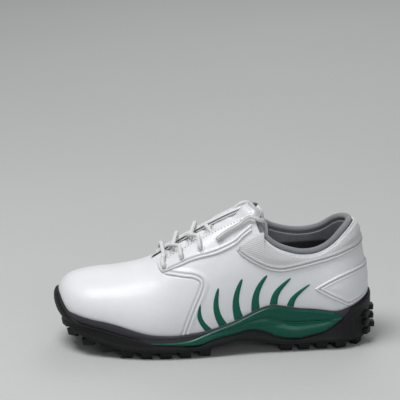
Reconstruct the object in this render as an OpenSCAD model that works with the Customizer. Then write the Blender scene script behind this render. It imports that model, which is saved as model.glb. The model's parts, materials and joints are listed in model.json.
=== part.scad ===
// Left golf shoe, drawn as the separate pieces it is assembled from, in millimetres.
// X runs from the toe (-X) to the heel (+X), +Y is the inner side of the foot, Z is up.
// The origin is on the ground, under the middle of the shoe.
//
// Every soft piece follows one skin: the outside face of the upper. A place on the skin is
// given by q, the walk around the shoe, and v, the rise from the bottom edge (0) to the
// ridge line (1). A layer is the skin moved along its normal.

/* [Overall size] */
// Length over the outsole, toe to heel
shoe_length = 286; // [276:1:306]
// Width over the outsole at the ball of the foot
ball_width = 104; // [100:1:110]
// Height of the collar at the back of the heel
heel_height = 115; // [112:1:120]

/* [Upper] */
// Thickness of the outer leather
leather_t = 1.4; // [1.2:0.1:1.5]
// Thickness of the eyestay, heel and collar overlays
overlay_t = 1.0; // [0.8:0.1:1.2]
// Thickness of the collar padding at the top
pad_t = 4.5; // [4:0.5:5]
// Diameter of the round lace
lace_d = 3.6; // [3.2:0.1:3.8]

/* [Sole] */
// Thickness of the midsole side wall
wall_t = 1.6; // [1.4:0.1:1.8]
// Thickness of the outsole side wall and of the arch plate
outsole_t = 1.6; // [1.4:0.1:1.8]
// Diameter of a screw-in cleat
cleat_d = 22; // [20:0.5:23]
// Diameter of a cleat's stem
stem_d = 9; // [8:0.5:10]

/* [Hidden] */

OUTER = -1;
INNER = 1;
kx = shoe_length / 286;
ky = ball_width / 104;
kz = heel_height / 115;
gap = 0.35;

// Layers of the upper, as distances outside (+) or inside (-) the skin
stiff_out = -leather_t - gap;
stiff_in = stiff_out - 0.8;
lining_out = stiff_in - gap;
lining_in = lining_out - 0.8;
overlay_in = gap;
overlay_out = overlay_in + overlay_t;

// ---------------------------------------------------------------- the skin

HEEL_X = 100;
TOE_X = -98;
HEEL_WALK = 56;
TOE_WALK = 64;
TOE_START = HEEL_WALK + HEEL_X - TOE_X;
HALF = TOE_START + TOE_WALK;
RIDGE_REACH = 26;

// walk from the heel | heights of the bottom edge, side and ridge |
// radii of the bottom edge, side and shoulder, outer side then inner side
STATIONS = [
    [0, 26, 49, 132.5, 36.5, 43.5, 36.5, 36.5, 43.5, 36.5],
    [28, 26, 49, 132.5, 34.5, 41.5, 35, 34.5, 41.5, 35],
    [56, 26.3, 49.4, 133.5, 31.5, 38.5, 33.5, 31, 38, 33],
    [81, 26.4, 49, 133, 32, 38, 34.5, 30.5, 37, 34],
    [111, 25.7, 48.8, 130.8, 33.5, 39, 37, 29.5, 36.5, 36],
    [136, 24.3, 48.5, 122, 36.5, 41, 39, 30.5, 38, 38],
    [161, 21.8, 46, 109, 40.5, 45, 40, 35, 42.5, 39],
    [186, 18.9, 41.5, 94, 45, 50.5, 39, 40.5, 48, 38],
    [211, 17.5, 40, 77, 47.5, 55, 37, 44, 52.5, 37],
    [236, 20.3, 41.9, 70, 45.5, 54, 36, 44, 52, 36],
    [254, 23.5, 44.5, 67.6, 41.5, 51.5, 35, 42, 50.5, 34.5],
    [286, 28, 48, 65.2, 36.5, 48.5, 33.5, 36.5, 48.5, 33.5],
    [318, 30.8, 50, 62.8, 32, 45.5, 32, 32, 45.5, 32]
];
// x | sideways place of the shoe's middle line
SPINE = [[-98, 5], [-55, 1], [0, -3], [50, -2], [100, 0]];

function lerp(a, b, t) = a + (b - a) * t;
function unit(a) = a / norm(a);
function last(a) = len(a) - 1;

// Smooth curve through the rows of table T: column c at x. Flat ends suit a closed loop.
function row_of(T, x, i = 0) = i >= len(T) - 2 || x < T[i + 1][0] ? i : row_of(T, x, i + 1);
function slope(T, i, c, flat) =
    (i == 0 || i == last(T)) && flat ? 0 :
    let (a = max(i - 1, 0), b = min(i + 1, last(T)))
    (T[b][c] - T[a][c]) / (T[b][0] - T[a][0]);
function curve(T, x, c = 1, flat = false) =
    let (
        i = row_of(T, x),
        w = T[i + 1][0] - T[i][0],
        t = min(max((x - T[i][0]) / w, 0), 1)
    )
    T[i][c] * (1 + 2 * t) * pow(1 - t, 2) + T[i + 1][c] * t * t * (3 - 2 * t)
    + w * (slope(T, i, c, flat) * t * pow(1 - t, 2) - slope(T, i + 1, c, flat) * t * t * (1 - t));

function wrap(q) = q < 0 ? q + 2 * HALF : q >= 2 * HALF ? q - 2 * HALF : q;
function side_of(q) = wrap(q) <= HALF ? INNER : OUTER;
function walk_of(q) = wrap(q) <= HALF ? wrap(q) : 2 * HALF - wrap(q);
function q_of(side, walk) = side == INNER ? walk : 2 * HALF - walk;
function q_at(side, x) = q_of(side, HEEL_WALK + HEEL_X - x);
function x_of(q) = HEEL_X + HEEL_WALK - walk_of(q);

function spine_x(w) = w < HEEL_WALK ? HEEL_X : w > TOE_START ? TOE_X : HEEL_X + HEEL_WALK - w;
function turn(w) = w < HEEL_WALK ? 90 * w / HEEL_WALK
    : w > TOE_START ? 90 + 90 * (w - TOE_START) / TOE_WALK : 90;
function ridge_x(w) = w > TOE_START
    ? TOE_X - RIDGE_REACH * sin(90 * (w - TOE_START) / TOE_WALK) : spine_x(w);
function ridge_slope(w) = w > TOE_START ? lerp(0.14, 0.32, (w - TOE_START) / TOE_WALK) : 0;

// The middle of the shoe's outside, in the tables' x and y
CENTRE_X = 3.8;
CENTRE_Y = 0.3;
function scaled(p) = [kx * (p[0] - CENTRE_X), ky * (p[1] - CENTRE_Y), kz * p[2]];
// A point at radius r from the middle line, on the side that q walks along
function spoke(q, r, z) =
    let (w = walk_of(q), x = spine_x(w), a = turn(w))
    [x + r * cos(a), curve(SPINE, x) + side_of(q) * r * sin(a), z];
// The four control points of the skin's rise at q
function rise(q) =
    let (
        w = walk_of(q),
        c = side_of(q) == OUTER ? 4 : 7,
        rx = ridge_x(w),
        top = curve(STATIONS, w, 3, true),
        shoulder = spoke(q, curve(STATIONS, w, c + 2, true), top)
    )
    [
        scaled(spoke(q, curve(STATIONS, w, c, true), curve(STATIONS, w, 1, true))),
        scaled(spoke(q, curve(STATIONS, w, c + 1, true), curve(STATIONS, w, 2, true))),
        scaled([shoulder[0], shoulder[1], top + ridge_slope(w) * (shoulder[0] - rx)
            * (w > TOE_START ? 1 : 0)]),
        scaled([rx, curve(SPINE, rx), top])
    ];
function bezier(c, v) = pow(1 - v, 3) * c[0] + 3 * pow(1 - v, 2) * v * c[1]
    + 3 * (1 - v) * v * v * c[2] + v * v * v * c[3];
function bezier_slope(c, v) = pow(1 - v, 2) * (c[1] - c[0]) + 2 * (1 - v) * v * (c[2] - c[1])
    + v * v * (c[3] - c[2]);
function normal(q, v) =
    let (step = 0.5, u = min(v, 0.97))
    unit(cross(bezier(rise(q + step), u) - bezier(rise(q - step), u), bezier_slope(rise(q), u)));
// The skin moved outwards by o
function skin(q, v, o = 0) = bezier(rise(q), v) + o * normal(q, v);
// The rise v at which the skin reaches height z
function rise_to(c, z, lo, hi, n) = n == 0 ? (lo + hi) / 2 :
    let (m = (lo + hi) / 2)
    bezier(c, m)[2] < z ? rise_to(c, z, m, hi, n - 1) : rise_to(c, z, lo, m, n - 1);
function v_at(q, z) = rise_to(rise(q), kz * z, 0, 1, 12);

// ---------------------------------------------------------------- solids from point grids

function quad(a, b, c, d) = [[a, b, c], [a, c, d]];
function flatten(lists) = [for (l = lists) each l];

function reversed(faces) = [for (f = faces) [f[2], f[1], f[0]]];

// A closed sheet between two grids of points, [column][row], outside face first. With fold,
// the last column is a fold line that the rows meet on from both sides.
module sheet(outside, inside, fold = false) {
    n = len(outside);
    m = len(outside[0]);
    total = n * m;
    a = floor(n / 2);
    b = floor(m / 3);
    across = cross(outside[a][b] - outside[a - 1][b], outside[a][b + 1] - outside[a][b]);
    rising = across * (outside[a][b] - inside[a][b]) > 0;
    function at(i, j) = fold && i == n - 1 ? i * m + min(j, m - 1 - j) : i * m + j;
    faces = flatten([
        for (i = [0:n - 2], j = [0:m - 2])
            each [quad(at(i, j), at(i, j + 1), at(i + 1, j + 1), at(i + 1, j)),
                quad(total + at(i, j), total + at(i + 1, j), total + at(i + 1, j + 1),
                    total + at(i, j + 1))],
        for (i = [0:n - 2])
            each [quad(at(i, 0), at(i + 1, 0), total + at(i + 1, 0), total + at(i, 0)),
                quad(at(i + 1, m - 1), at(i, m - 1), total + at(i, m - 1),
                    total + at(i + 1, m - 1))],
        for (j = [0:m - 2])
            each [quad(at(0, j + 1), at(0, j), total + at(0, j), total + at(0, j + 1)),
                if (!fold) each [quad(at(n - 1, j), at(n - 1, j + 1), total + at(n - 1, j + 1),
                    total + at(n - 1, j))]]
    ]);
    polyhedron(points = concat(flatten(outside), flatten(inside)),
        faces = rising ? faces : reversed(faces), convexity = 8);
}

WALKS = concat([for (i = [0:7]) i * HEEL_WALK / 8], [for (i = [0:15]) HEEL_WALK + i * 13.2],
    [for (i = [1:8]) TOE_START + i * TOE_WALK / 8]);
LOOP = concat(WALKS, [for (i = [last(WALKS) - 1:-1:1]) 2 * HALF - WALKS[i]]);

// A closed solid from rings of points that follow LOOP; the first and last ring are capped.
module ring_solid(rings) {
    n = len(LOOP);
    k = last(rings);
    half = last(WALKS);
    function cap(base, i) = quad(base + i, base + i + 1, base + (n - i - 1) % n,
        base + (n - i) % n);
    faces = flatten([
        for (r = [0:k - 1], i = [0:n - 1])
            quad(r * n + i, r * n + (i + 1) % n, (r + 1) * n + (i + 1) % n, (r + 1) * n + i),
        for (i = [0:half - 1]) reversed(cap(0, i)),
        for (i = [0:half - 1]) cap(k * n, i)
    ]);
    kept = [for (f = faces) if (f[0] != f[1] && f[1] != f[2] && f[0] != f[2]) f];
    polyhedron(points = flatten(rings), faces = reversed(kept), convexity = 8);
}

// A round cord along a path, its cross-section carried along without twist
module cord(path, r, sides = 8) {
    n = len(path);
    function along(i) = unit(path[min(i + 1, n - 1)] - path[max(i - 1, 0)]);
    function level_with(a, t) = unit(a - (a * t) * t);
    start = level_with([0.3, 0.2, 1], along(0));
    sides_on = [for (i = 0, a = start; i < n;
        i = i + 1, a = level_with(a, along(min(i, n - 1)))) a];
    function ring(i) =
        let (a = sides_on[i], b = cross(along(i), a))
        [for (k = [0:sides - 1]) path[i] + r * (cos(k * 360 / sides) * a
            + sin(k * 360 / sides) * b)];
    faces = flatten([
        for (i = [0:n - 2], k = [0:sides - 1])
            quad(i * sides + k, i * sides + (k + 1) % sides,
                (i + 1) * sides + (k + 1) % sides, (i + 1) * sides + k),
        for (k = [1:sides - 2]) [[0, k + 1, k]],
        for (k = [1:sides - 2]) [[(n - 1) * sides, (n - 1) * sides + k, (n - 1) * sides + k + 1]]
    ]);
    polyhedron(points = flatten([for (i = [0:n - 1]) ring(i)]),
        faces = reversed(faces), convexity = 10);
}

// A smooth path through points, n steps between each pair
function spline_path(P, n) = concat([
    for (i = [0:len(P) - 2], k = [0:n - 1])
        let (
            a = P[max(i - 1, 0)], b = P[i], c = P[i + 1], d = P[min(i + 2, len(P) - 1)],
            t = k / n
        )
        b + 0.5 * t * ((c - a) + t * ((2 * a - 5 * b + 4 * c - d) + t * (3 * (b - c) + d - a)))
], [P[len(P) - 1]]);

// A patch of the skin: column i of n and row j of m, placed by where(i/n, j/m) = [q, v],
// between two distances from the skin, each a number or a pair [at the bottom, at the top].
function level(o, t) = is_list(o) ? lerp(o[0], o[1], t) : o;

// ---------------------------------------------------------------- lines drawn on the upper

// x of the seam between vamp and quarter, by the rise v
SEAM = [[0, -30.5], [0.16, -26], [0.3, -20], [0.39, -15], [0.46, -13], [0.515, -19],
    [0.56, -28], [0.64, -40], [0.7, -45.5], [0.76, -48], [0.84, -49]];
THROAT_V = 0.84;
THROAT_FRONT = -53;
FACING_END = 33;
COLLAR_END = HEEL_WALK + HEEL_X - FACING_END;
// walk | collar edge height, outer side then inner side
COLLAR = [[0, 110, 110], [18, 109, 109], [35, 104, 105], [50, 95.8, 98], [64, 89, 93.5],
    [77, 87.5, 92.5], [90, 90, 94.5], [103, 95.6, 99], [113, 104, 106], [COLLAR_END, 115.3, 115.5]];
// walk | lower edge of the textured collar panel
PANEL_LOW = [[0, 92], [18, 88.7], [35, 86.3], [62, 79.4], [85.6, 74.3], [97.5, 73],
    [109.5, 75.4], [121.4, 81.4], [133, 89.2], [137, 93.5]];
// walk | upper edge of the panel, in front of the collar
PANEL_TOP = [[112, 108], [117, 107], [130, 100], [137, 94.5]];
// walk | upper and lower edge of the heel overlay
HEEL_TOP = [[0, 74], [15.7, 74], [34.6, 72], [49.6, 67], [65.3, 58.8], [68, 57.6]];
HEEL_LOW = [[0, 45.9], [17, 42.9], [33, 39.4], [37, 39.2], [43.6, 42.6], [55.7, 49],
    [65.3, 54.5], [68, 56.6]];
// x | lower edge of the eyestay, as the rise v
FACING_LOW = [[-45, 0.69], [-36, 0.665], [-20.7, 0.655], [-0.5, 0.62], [17.5, 0.63],
    [26, 0.665], [33, 0.69]];

function collar_v(q) =
    let (w = walk_of(q), c = side_of(q) == OUTER ? 1 : 2)
    w > COLLAR_END ? THROAT_V : v_at(q, curve(COLLAR, w, c, true));
function seam_walk(v) = HEEL_WALK + HEEL_X - curve(SEAM, min(v, THROAT_V));

// How far the collar lining stands inside the skin, at height share t of the wall
function puff(q, t) = pad_t * pow(max(t - 0.35, 0) / 0.65, 0.7)
    * min(max((COLLAR_END + 3 - walk_of(q)) / 12, 0), 1);

// ---------------------------------------------------------------- upper

module skin_patch(columns, rows, where, outside, inside) {
    places = [for (i = [0:columns]) [for (j = [0:rows]) where(i / columns, j / rows)]];
    bases = [for (c = places) [for (p = c) bezier(rise(p[0]), p[1])]];
    normals = [for (c = places) [for (p = c) normal(p[0], p[1])]];
    function layer(o) = [for (i = [0:columns]) [for (j = [0:rows])
        bases[i][j] + level(o, j / rows) * normals[i][j]]];
    sheet(layer(outside), layer(inside));
}

// Rises of the rows of points, up to the throat and then to the ridge
SIDE_ROWS = 10;
TOE_RISES = concat([for (j = [0:SIDE_ROWS]) THROAT_V * j / SIDE_ROWS], [0.92, 1]);
TOE_COLUMNS = 8;

// Sheet over the toe: it starts at walk first(v) on both sides and folds at the toe tip.
module toe_sheet(columns, rises, first, outside, inside) {
    rows = last(rises);
    total = columns + TOE_COLUMNS;
    function walk(i, v) = i < columns ? lerp(first(v), TOE_START, i / columns)
        : TOE_START + (i - columns) * TOE_WALK / TOE_COLUMNS;
    function place(i, j) =
        let (v = rises[j <= rows ? j : 2 * rows - j])
        [q_of(j <= rows ? OUTER : INNER, walk(i, v)), v];
    places = [for (i = [0:total]) [for (j = [0:2 * rows]) place(i, j)]];
    function layer(o) = [for (c = places) [for (j = [0:2 * rows])
        let (p = c[j], n = normal(p[0], p[1]))
        bezier(rise(p[0]), p[1]) + o * (j == rows ? unit([n[0], 0, n[2]]) : n)]];
    sheet(layer(outside), layer(inside), fold = true);
}

seam_gap = 0.5;
function vamp_start(v) = v <= THROAT_V ? seam_walk(v) + seam_gap
    : HEEL_WALK + HEEL_X + seam_gap
        - lerp(SEAM[last(SEAM)][1], THROAT_FRONT, sin(90 * (v - THROAT_V) / (1 - THROAT_V)));

module vamp() {
    color("white")
        toe_sheet(6, TOE_RISES, function (v) vamp_start(v), 0, -leather_t);
}

PUFF_START = TOE_START - 14;

module toe_puff() {
    rises = [for (v = TOE_RISES) max(v, 0.06)];
    color("tan")
        toe_sheet(1, rises, function (v) PUFF_START, stiff_out, stiff_in);
}

module vamp_lining() {
    color("gainsboro")
        toe_sheet(6, TOE_RISES, function (v) vamp_start(v) + 0.8, lining_out, lining_in);
}

// Side panel from the vamp seam to the middle of the heel
function side_place(side, s, t, start, top) =
    let (walk = lerp(start, 0.4, s), q = q_of(side, walk))
    [q, t * top(q)];

module quarter(side) {
    difference() {
        skin_patch(24, SIDE_ROWS,
            function (s, t) side_place(side, s, t, seam_walk(t * THROAT_V) - seam_gap,
                function (q) collar_v(q)), 0, -leather_t);
        eyelet_holes(side);
    }
}

module quarter_outer_side() color("white") quarter(OUTER);
module quarter_inner_side() color("white") quarter(INNER);

// Lining of the laced part, from the vamp lining back to the collar lining
LINING_SPLIT = 128;

module quarter_lining(side) {
    difference() {
        skin_patch(7, SIDE_ROWS, function (s, t)
            [q_of(side, lerp(seam_walk(t * THROAT_V) - 1, LINING_SPLIT, s)), t * THROAT_V],
            lining_out, lining_in);
        eyelet_holes(side);
    }
}

module quarter_lining_outer_side() color("gainsboro") quarter_lining(OUTER);
module quarter_lining_inner_side() color("gainsboro") quarter_lining(INNER);

// A band around the heel from walk first on the outer side to the same walk on the inner
// side. low(q), high(q) give the rise of its edges; out(q, v), in(q, v) its two faces.
module heel_band(columns, rows, first, low, high, out, in) {
    qs = [for (i = [0:columns]) wrap(lerp(2 * HALF - first, 2 * HALF + first, i / columns))];
    function layer(o) = [for (q = qs)
        let (a = low(q), b = high(q))
        [for (j = [0:rows])
            let (v = lerp(a, b, j / rows))
            bezier(rise(q), v) + o(q, j / rows) * normal(q, v)]];
    sheet(layer(out), layer(in));
}

module heel_counter() {
    color("tan")
        heel_band(16, 5, 78, function (q) 0.05, function (q) v_at(q, lerp(72, 58,
            walk_of(q) / 78)), function (q, t) stiff_out, function (q, t) stiff_in);
}

function lining_face(q, t) = lining_out - puff(q, t);

module collar_lining() {
    color("darkgray")
        heel_band(28, 8, LINING_SPLIT - 1, function (q) 0, function (q) collar_v(q) - 0.01,
            function (q, t) lining_face(q, t), function (q, t) lining_face(q, t) - 0.8);
}

// Foam between leather and lining, upper half of the collar
PAD_LOW = 0.45;

module collar_padding() {
    function t_of(t) = lerp(PAD_LOW, 0.93, t);
    color("khaki")
        heel_band(24, 5, 112,
            function (q) t_of(0) * (collar_v(q) - 0.01),
            function (q) t_of(1) * (collar_v(q) - 0.01),
            function (q, t) lining_out,
            function (q, t) min(lining_face(q, t_of(t)) + 0.45, lining_out - 0.5));
}

module collar_panel() {
    color("whitesmoke")
        heel_band(28, 4, 136.6, function (q) v_at(q, curve(PANEL_LOW, walk_of(q), 1, true)),
            function (q) walk_of(q) > PANEL_TOP[0][0] ? v_at(q, curve(PANEL_TOP, walk_of(q)))
                : collar_v(q) - 0.025,
            function (q, t) overlay_out, function (q, t) overlay_in);
}

module heel_overlay() {
    color("white")
        heel_band(20, 5, 67.6, function (q) v_at(q, curve(HEEL_LOW, walk_of(q), 1, true)),
            function (q) v_at(q, curve(HEEL_TOP, walk_of(q), 1, true)),
            function (q, t) overlay_out, function (q, t) overlay_in);
}

BINDING_R = 3;

// Rolled edge that rides on the top of the collar
module collar_binding() {
    first = COLLAR_END - 2;
    steps = 36;
    qs = [for (i = [-1:steps + 1]) wrap(lerp(2 * HALF - first, 2 * HALF + first, i / steps))];
    edge = [for (q = qs) skin(q, collar_v(q))];
    path = [for (i = [1:steps + 1])
        let (
            n = normal(qs[i], collar_v(qs[i])),
            up = unit(cross(n, edge[i - 1] - edge[i + 1]))
        )
        edge[i] + n * (lining_face(qs[i], 1) - 0.8) / 2
            + (up[2] < 0 ? -1 : 1) * up * (BINDING_R + 0.6)];
    color("silver") cord(path, BINDING_R, 8);
}

module eyestay(side) {
    difference() {
        skin_patch(12, 3, function (s, t)
            let (
                v = lerp(curve(FACING_LOW, lerp(-44, FACING_END, s)), THROAT_V - 0.01, t),
                x = lerp(curve(SEAM, v) + 1, FACING_END, s)
            )
            [q_at(side, x), v],
            overlay_out, overlay_in);
        eyelet_holes(side);
    }
}

module eyestay_outer_side() color("white") eyestay(OUTER);
module eyestay_inner_side() color("white") eyestay(INNER);

// Decoration on the side: a fan of six tapering blades that rise from the arch plate.
// Each row: x of the root, x of the tip, height of the tip, width at the root
BLADES = [[-6, -13, 50, 6], [7, 3, 62, 7], [21, 24, 69, 7.5], [36, 46, 71, 7.5],
    [52, 67, 67.5, 7], [67, 84, 61, 6]];

module blade(side, b) {
    function width(t) = b[3] * (0.14 + 0.86 * sqrt(1 - t));
    function where(s, t) =
        let (
            x = lerp(b[0], b[1], t) - 4 * sin(180 * t) + (s - 0.5) * width(t),
            root = sole_z(q_at(side, x), 1) + 1.2,
            q = q_at(side, x)
        )
        [q, v_at(q, lerp(root, b[2], t) + (0.5 - s) * width(t) * 0.4 * t)];
    skin_patch(2, 6, function (s, t) where(s, t), overlay_in + 0.4, overlay_in);
}

module side_flash(side) color("darkgreen") for (b = BLADES) blade(side, b);
module side_flash_outer_side() side_flash(OUTER);
module side_flash_inner_side() side_flash(INNER);

// ---------------------------------------------------------------- lacing

EYELET_X = [-42, -27, -11, 5];
EYELET_V = 0.73;
eyelet_r = lace_d / 2 + 0.6;
eyelet_wall = 0.6;

module along_normal(side, x, v) {
    q = q_at(side, x);
    n = normal(q, v);
    p = skin(q, v);
    translate(p) rotate([0, acos(n[2]), atan2(n[1], n[0])]) children();
}

module eyelet_holes(side) {
    for (x = EYELET_X)
        along_normal(side, x, EYELET_V)
            translate([0, 0, -6]) cylinder(r = eyelet_r + eyelet_wall + 0.15, h = 10, $fn = 24);
}

// Rolled ring that lines one lace hole
module eyelet() {
    rotate_extrude($fn = 48)
        polygon([[eyelet_r, lining_in - 0.2], [eyelet_r + eyelet_wall, lining_in - 0.2],
            [eyelet_r + eyelet_wall, overlay_out + 0.1], [eyelet_r + 1.5, overlay_out + 0.1],
            [eyelet_r + 1.3, overlay_out + 0.6], [eyelet_r + 0.3, overlay_out + 0.7],
            [eyelet_r, overlay_out + 0.4]]);
}

module eyelets() {
    color("lightgray")
        for (side = [OUTER, INNER], x = EYELET_X)
            along_normal(side, x, EYELET_V) eyelet();
}

lace_r = lace_d / 2;
over = overlay_out + 0.9 + lace_r;
under = lining_in - 0.5 - lace_r;

function hole_point(side, k, o) = skin(q_at(side, EYELET_X[k]), EYELET_V, o);
function lip_point(side, x, o) = skin(q_at(side, x), THROAT_V, o);
// A point of the lace over the middle of the tongue
function middle_point(x, lift) = tongue_point(tongue_s(x), 0, lace_r + 1.1 + lift);
// Straight through hole k, from outside to inside
function through(side, k) = [for (o = [over + 0.6, 0, under]) hole_point(side, k, o)];
function backwards(list) = [for (i = [last(list):-1:0]) list[i]];

// From inside hole k on one side, over the tongue, to hole k + 1 on the other side. The last
// crossing comes up through its hole from below.
function crossing(side, k, lift) =
    let (x = EYELET_X[k], x2 = EYELET_X[k + 1], top = k == len(EYELET_X) - 2)
    concat(
        [skin(q_at(side, x + 4), 0.79, under), lip_point(side, x + 6, under),
            middle_point((x + x2) / 2 + 1, lift)],
        top ? concat([lip_point(-side, x2 - 6, under), skin(q_at(-side, x2 - 4), 0.79, under)],
                backwards(through(-side, k + 1)))
            : concat([lip_point(-side, x2 - 1, over), skin(q_at(-side, x2), 0.785, over + 0.8)],
                through(-side, k + 1))
    );

// Inner end of the lace, tucked in beside the tongue
function lace_end(side) = scaled([47.5, side * 15 - 2, 97]);

// Front bar to the top hole on one side, then the free end over the tongue's edge
function half_lace(side) =
    concat(
        [lip_point(side, EYELET_X[0] + 1, over),
            skin(q_at(side, EYELET_X[0]), 0.785, over + 0.8)],
        through(side, 0),
        crossing(side, 0, side == OUTER ? 0 : lace_d + 0.3),
        crossing(-side, 1, side == OUTER ? lace_d + 0.3 : 0),
        crossing(side, 2, side == OUTER ? 0 : lace_d + 0.3),
        [skin(q_at(-side, 12), 0.75, over + 0.4),
            skin(q_at(-side, 22), 0.765, over + 0.4),
            skin(q_at(-side, 32), 0.79, over + 1.2)],
        [scaled([41, -side * 23.5 - 2, 118]), scaled([46, -side * 16.5 - 2, 113]),
            lace_end(-side)]
    );

function lace_points() =
    concat(backwards(half_lace(OUTER)), [middle_point(EYELET_X[0] + 1, 0)], half_lace(INNER));

module lace() {
    color("ivory") cord(spline_path(lace_points(), 3), lace_r, 7);
}

AGLET_L = 14;

module aglets() {
    color("whitesmoke")
        for (side = [OUTER, INNER])
            translate(lace_end(side) - [0, 0, AGLET_L + 0.6])
                cylinder(r = lace_r + 0.1, h = AGLET_L, $fn = 32);
}

// ---------------------------------------------------------------- tongue

// share of the tongue's length | x, z of its outside face on the middle line, half width, sag
TONGUE = [[0, -53, 70, 16, 4], [0.25, -24, 89, 23.5, 12], [0.5, -3, 101.5, 25, 15.5],
    [0.72, 14, 109.5, 23, 15.5], [0.88, 24.5, 116.5, 16, 10], [1, 30.5, 126, 12, 6.5]];

function tongue_s(x) = lookup(x, [for (r = TONGUE) [r[1], r[0]]]);
function tongue_mid(s) = [curve(TONGUE, s, 1), 0, curve(TONGUE, s, 2)];
function tongue_point(s, u, h) =
    let (
        c = tongue_mid(s),
        t = unit(tongue_mid(min(s + 0.02, 1)) - tongue_mid(max(s - 0.02, 0))),
        n = [-t[2], 0, t[0]],
        w = curve(TONGUE, s, 3),
        sag = curve(TONGUE, s, 4)
    )
    scaled(c + [0, u * w + curve(SPINE, c[0]), 0]) + (h - sag * u * u) * n;

module tongue_layer(top, bottom, trim) {
    columns = 12;
    rows = 10;
    function layer(h) = [for (i = [0:columns]) [for (j = [0:rows])
        tongue_point(lerp(0, 1 - trim, i / columns), lerp(1 - trim, trim - 1, j / rows), h)]];
    sheet(layer(top), layer(bottom));
}

module tongue_cover() color("white") tongue_layer(0, -1.2, 0);
module tongue_padding() color("khaki") tongue_layer(-1.7, -3.9, 0.05);
module tongue_lining() color("silver") tongue_layer(-4.6, -5.4, 0);

module tongue_label() {
    columns = 3;
    rows = 4;
    function layer(h) = [for (i = [0:columns]) [for (j = [0:rows])
        tongue_point(lerp(0.8, 0.93, i / columns), lerp(0.36, -0.36, j / rows), h)]];
    color("darkslategray") sheet(layer(1.1), layer(0.55));
}

// ---------------------------------------------------------------- sole

// walk | top edge of the sole wall | top edge of the outsole | underside
SOLE = [
    [0, 45, 45, 8], [17, 42, 42, 6.5], [33, 38.5, 38.5, 6.5], [38, 37.2, 31.5, 6.5],
    [42, 36.2, 27.2, 6.5], [48, 35.6, 22.4, 6.5], [56, 36.6, 17.6, 6.5], [67, 38.3, 14.5, 6.5],
    [84, 40.3, 11.9, 6.5], [102, 43.8, 14.6, 7.5], [111, 43.2, 18.8, 9.5], [125, 37.8, 21.8, 12],
    [138, 31.8, 19.4, 12], [156, 25.8, 16.1, 9], [169, 23, 11.8, 6.5], [178, 22.2, 11, 6],
    [192, 21, 12, 5.6], [212, 22.6, 14, 5.6], [224, 25.4, 18, 6], [241.6, 30.8, 23, 8.5],
    [263.5, 35, 29, 14.5], [277.7, 37.4, 32, 19], [287.4, 38.8, 38, 22], [296, 45, 45, 24],
    [304, 49, 49, 26], [318, 50.5, 50.5, 29.5]
];
FLARE = 1.2;

function bottom_r(q) = curve(STATIONS, walk_of(q), side_of(q) == OUTER ? 4 : 7, true);
function bottom_z(q) = curve(STATIONS, walk_of(q), 1, true);
function sole_z(q, c) = curve(SOLE, walk_of(q), c, true);

// A point on the sole's side at height z, o outside the upper; below the upper the side
// drops from its bottom edge with a slight flare.
function side_point(q, z, o) =
    let (b = bottom_z(q))
    z < b ? let (n = normal(q, 0), f = unit([n[0], n[1], 0]))
        scaled(spoke(q, bottom_r(q), z)) + (o + FLARE * (b - z) / 10) * f
        : let (v = v_at(q, z), n = normal(q, v), f = unit([n[0], n[1], 0]))
        skin(q, v) + o * lerp(f, n, min((z - b) / 6, 1));
function side_ring(z_of, o) = [for (q = LOOP) side_point(q, z_of(q), o)];

wall_in = 0.6;
wall_out = wall_in + wall_t;
shell_in = wall_out + 0.5;
shell_out = shell_in + outsole_t;
outsole_floor = 4;

function midsole_low(q) = sole_z(q, 3) + outsole_floor + 1.6;

module midsole() {
    function knee(q) = max(bottom_z(q), midsole_low(q) + 1);
    function up(t) = function (q) lerp(knee(q), sole_z(q, 1), t);
    function down(t) = function (q) lerp(bottom_z(q) - 0.4, max(sole_z(q, 1) - 0.3,
        bottom_z(q) - 0.3), t);
    color("dimgray") difference() {
        ring_solid([
            side_ring(function (q) midsole_low(q), wall_out), side_ring(up(0), wall_out),
            side_ring(up(0.5), wall_out), side_ring(up(1), wall_out),
            side_ring(down(1), wall_in), side_ring(down(0.66), wall_in),
            side_ring(down(0.33), wall_in), side_ring(down(0), wall_in)]);
        gel_pocket(HEEL_PAD, gap);
        gel_pocket(BALL_PAD, gap);
        arch_bridge(gap, 3);
    }
}

// Gel pads: x, y, length, width, height of the underside, height
HEEL_PAD = [92, 0, 62, 40, 17.5, 7];
BALL_PAD = [-58, 1, 46, 62, 13.2, 2.4];

module gel_shape(p, grow) {
    translate(scaled([p[0], p[1], 0]))
        scale([1, p[3] / p[2]]) circle(r = p[2] / 2 + grow, $fn = 48);
}

module gel_pocket(p, grow) {
    translate([0, 0, kz * (p[4] - grow)])
        linear_extrude(height = 40) gel_shape(p, grow);
}

module gel_pad(p) {
    translate([0, 0, kz * p[4]]) linear_extrude(height = kz * p[5]) gel_shape(p, 0);
}

module heel_gel_pad() color("lightskyblue") gel_pad(HEEL_PAD);
module forefoot_gel_pad() color("lightskyblue") gel_pad(BALL_PAD);

// Flat pieces inside the upper: a rim of the skin's lower edge, moved in
function floor_ring(in, z) = [for (q = LOOP)
    let (n = normal(q, 0), f = unit([n[0], n[1], 0]))
    scaled(spoke(q, bottom_r(q), bottom_z(q))) - in * f + [0, 0, z]];
board_rim = -lining_in + 0.5;

module insole_board() {
    color("burlywood")
        ring_solid([floor_ring(board_rim, 0), floor_ring(board_rim, 1.6)]);
}

module sockliner() {
    cup = [for (q = LOOP) 7 * pow(max(cos(min(walk_of(q), 90)), 0), 0.7)];
    top = floor_ring(board_rim + 0.3, 0);
    inner = floor_ring(board_rim + 3, 0);
    color("black")
        ring_solid([
            floor_ring(board_rim + 0.3, 1.8),
            floor_ring(board_rim + 0.3, 5),
            [for (i = [0:last(LOOP)]) top[i] + [0, 0, 6.2 + cup[i]]],
            [for (i = [0:last(LOOP)]) inner[i] + [0, 0, 6 + cup[i] * 0.5]],
            floor_ring(board_rim + 6, 5.5)]);
}

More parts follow.
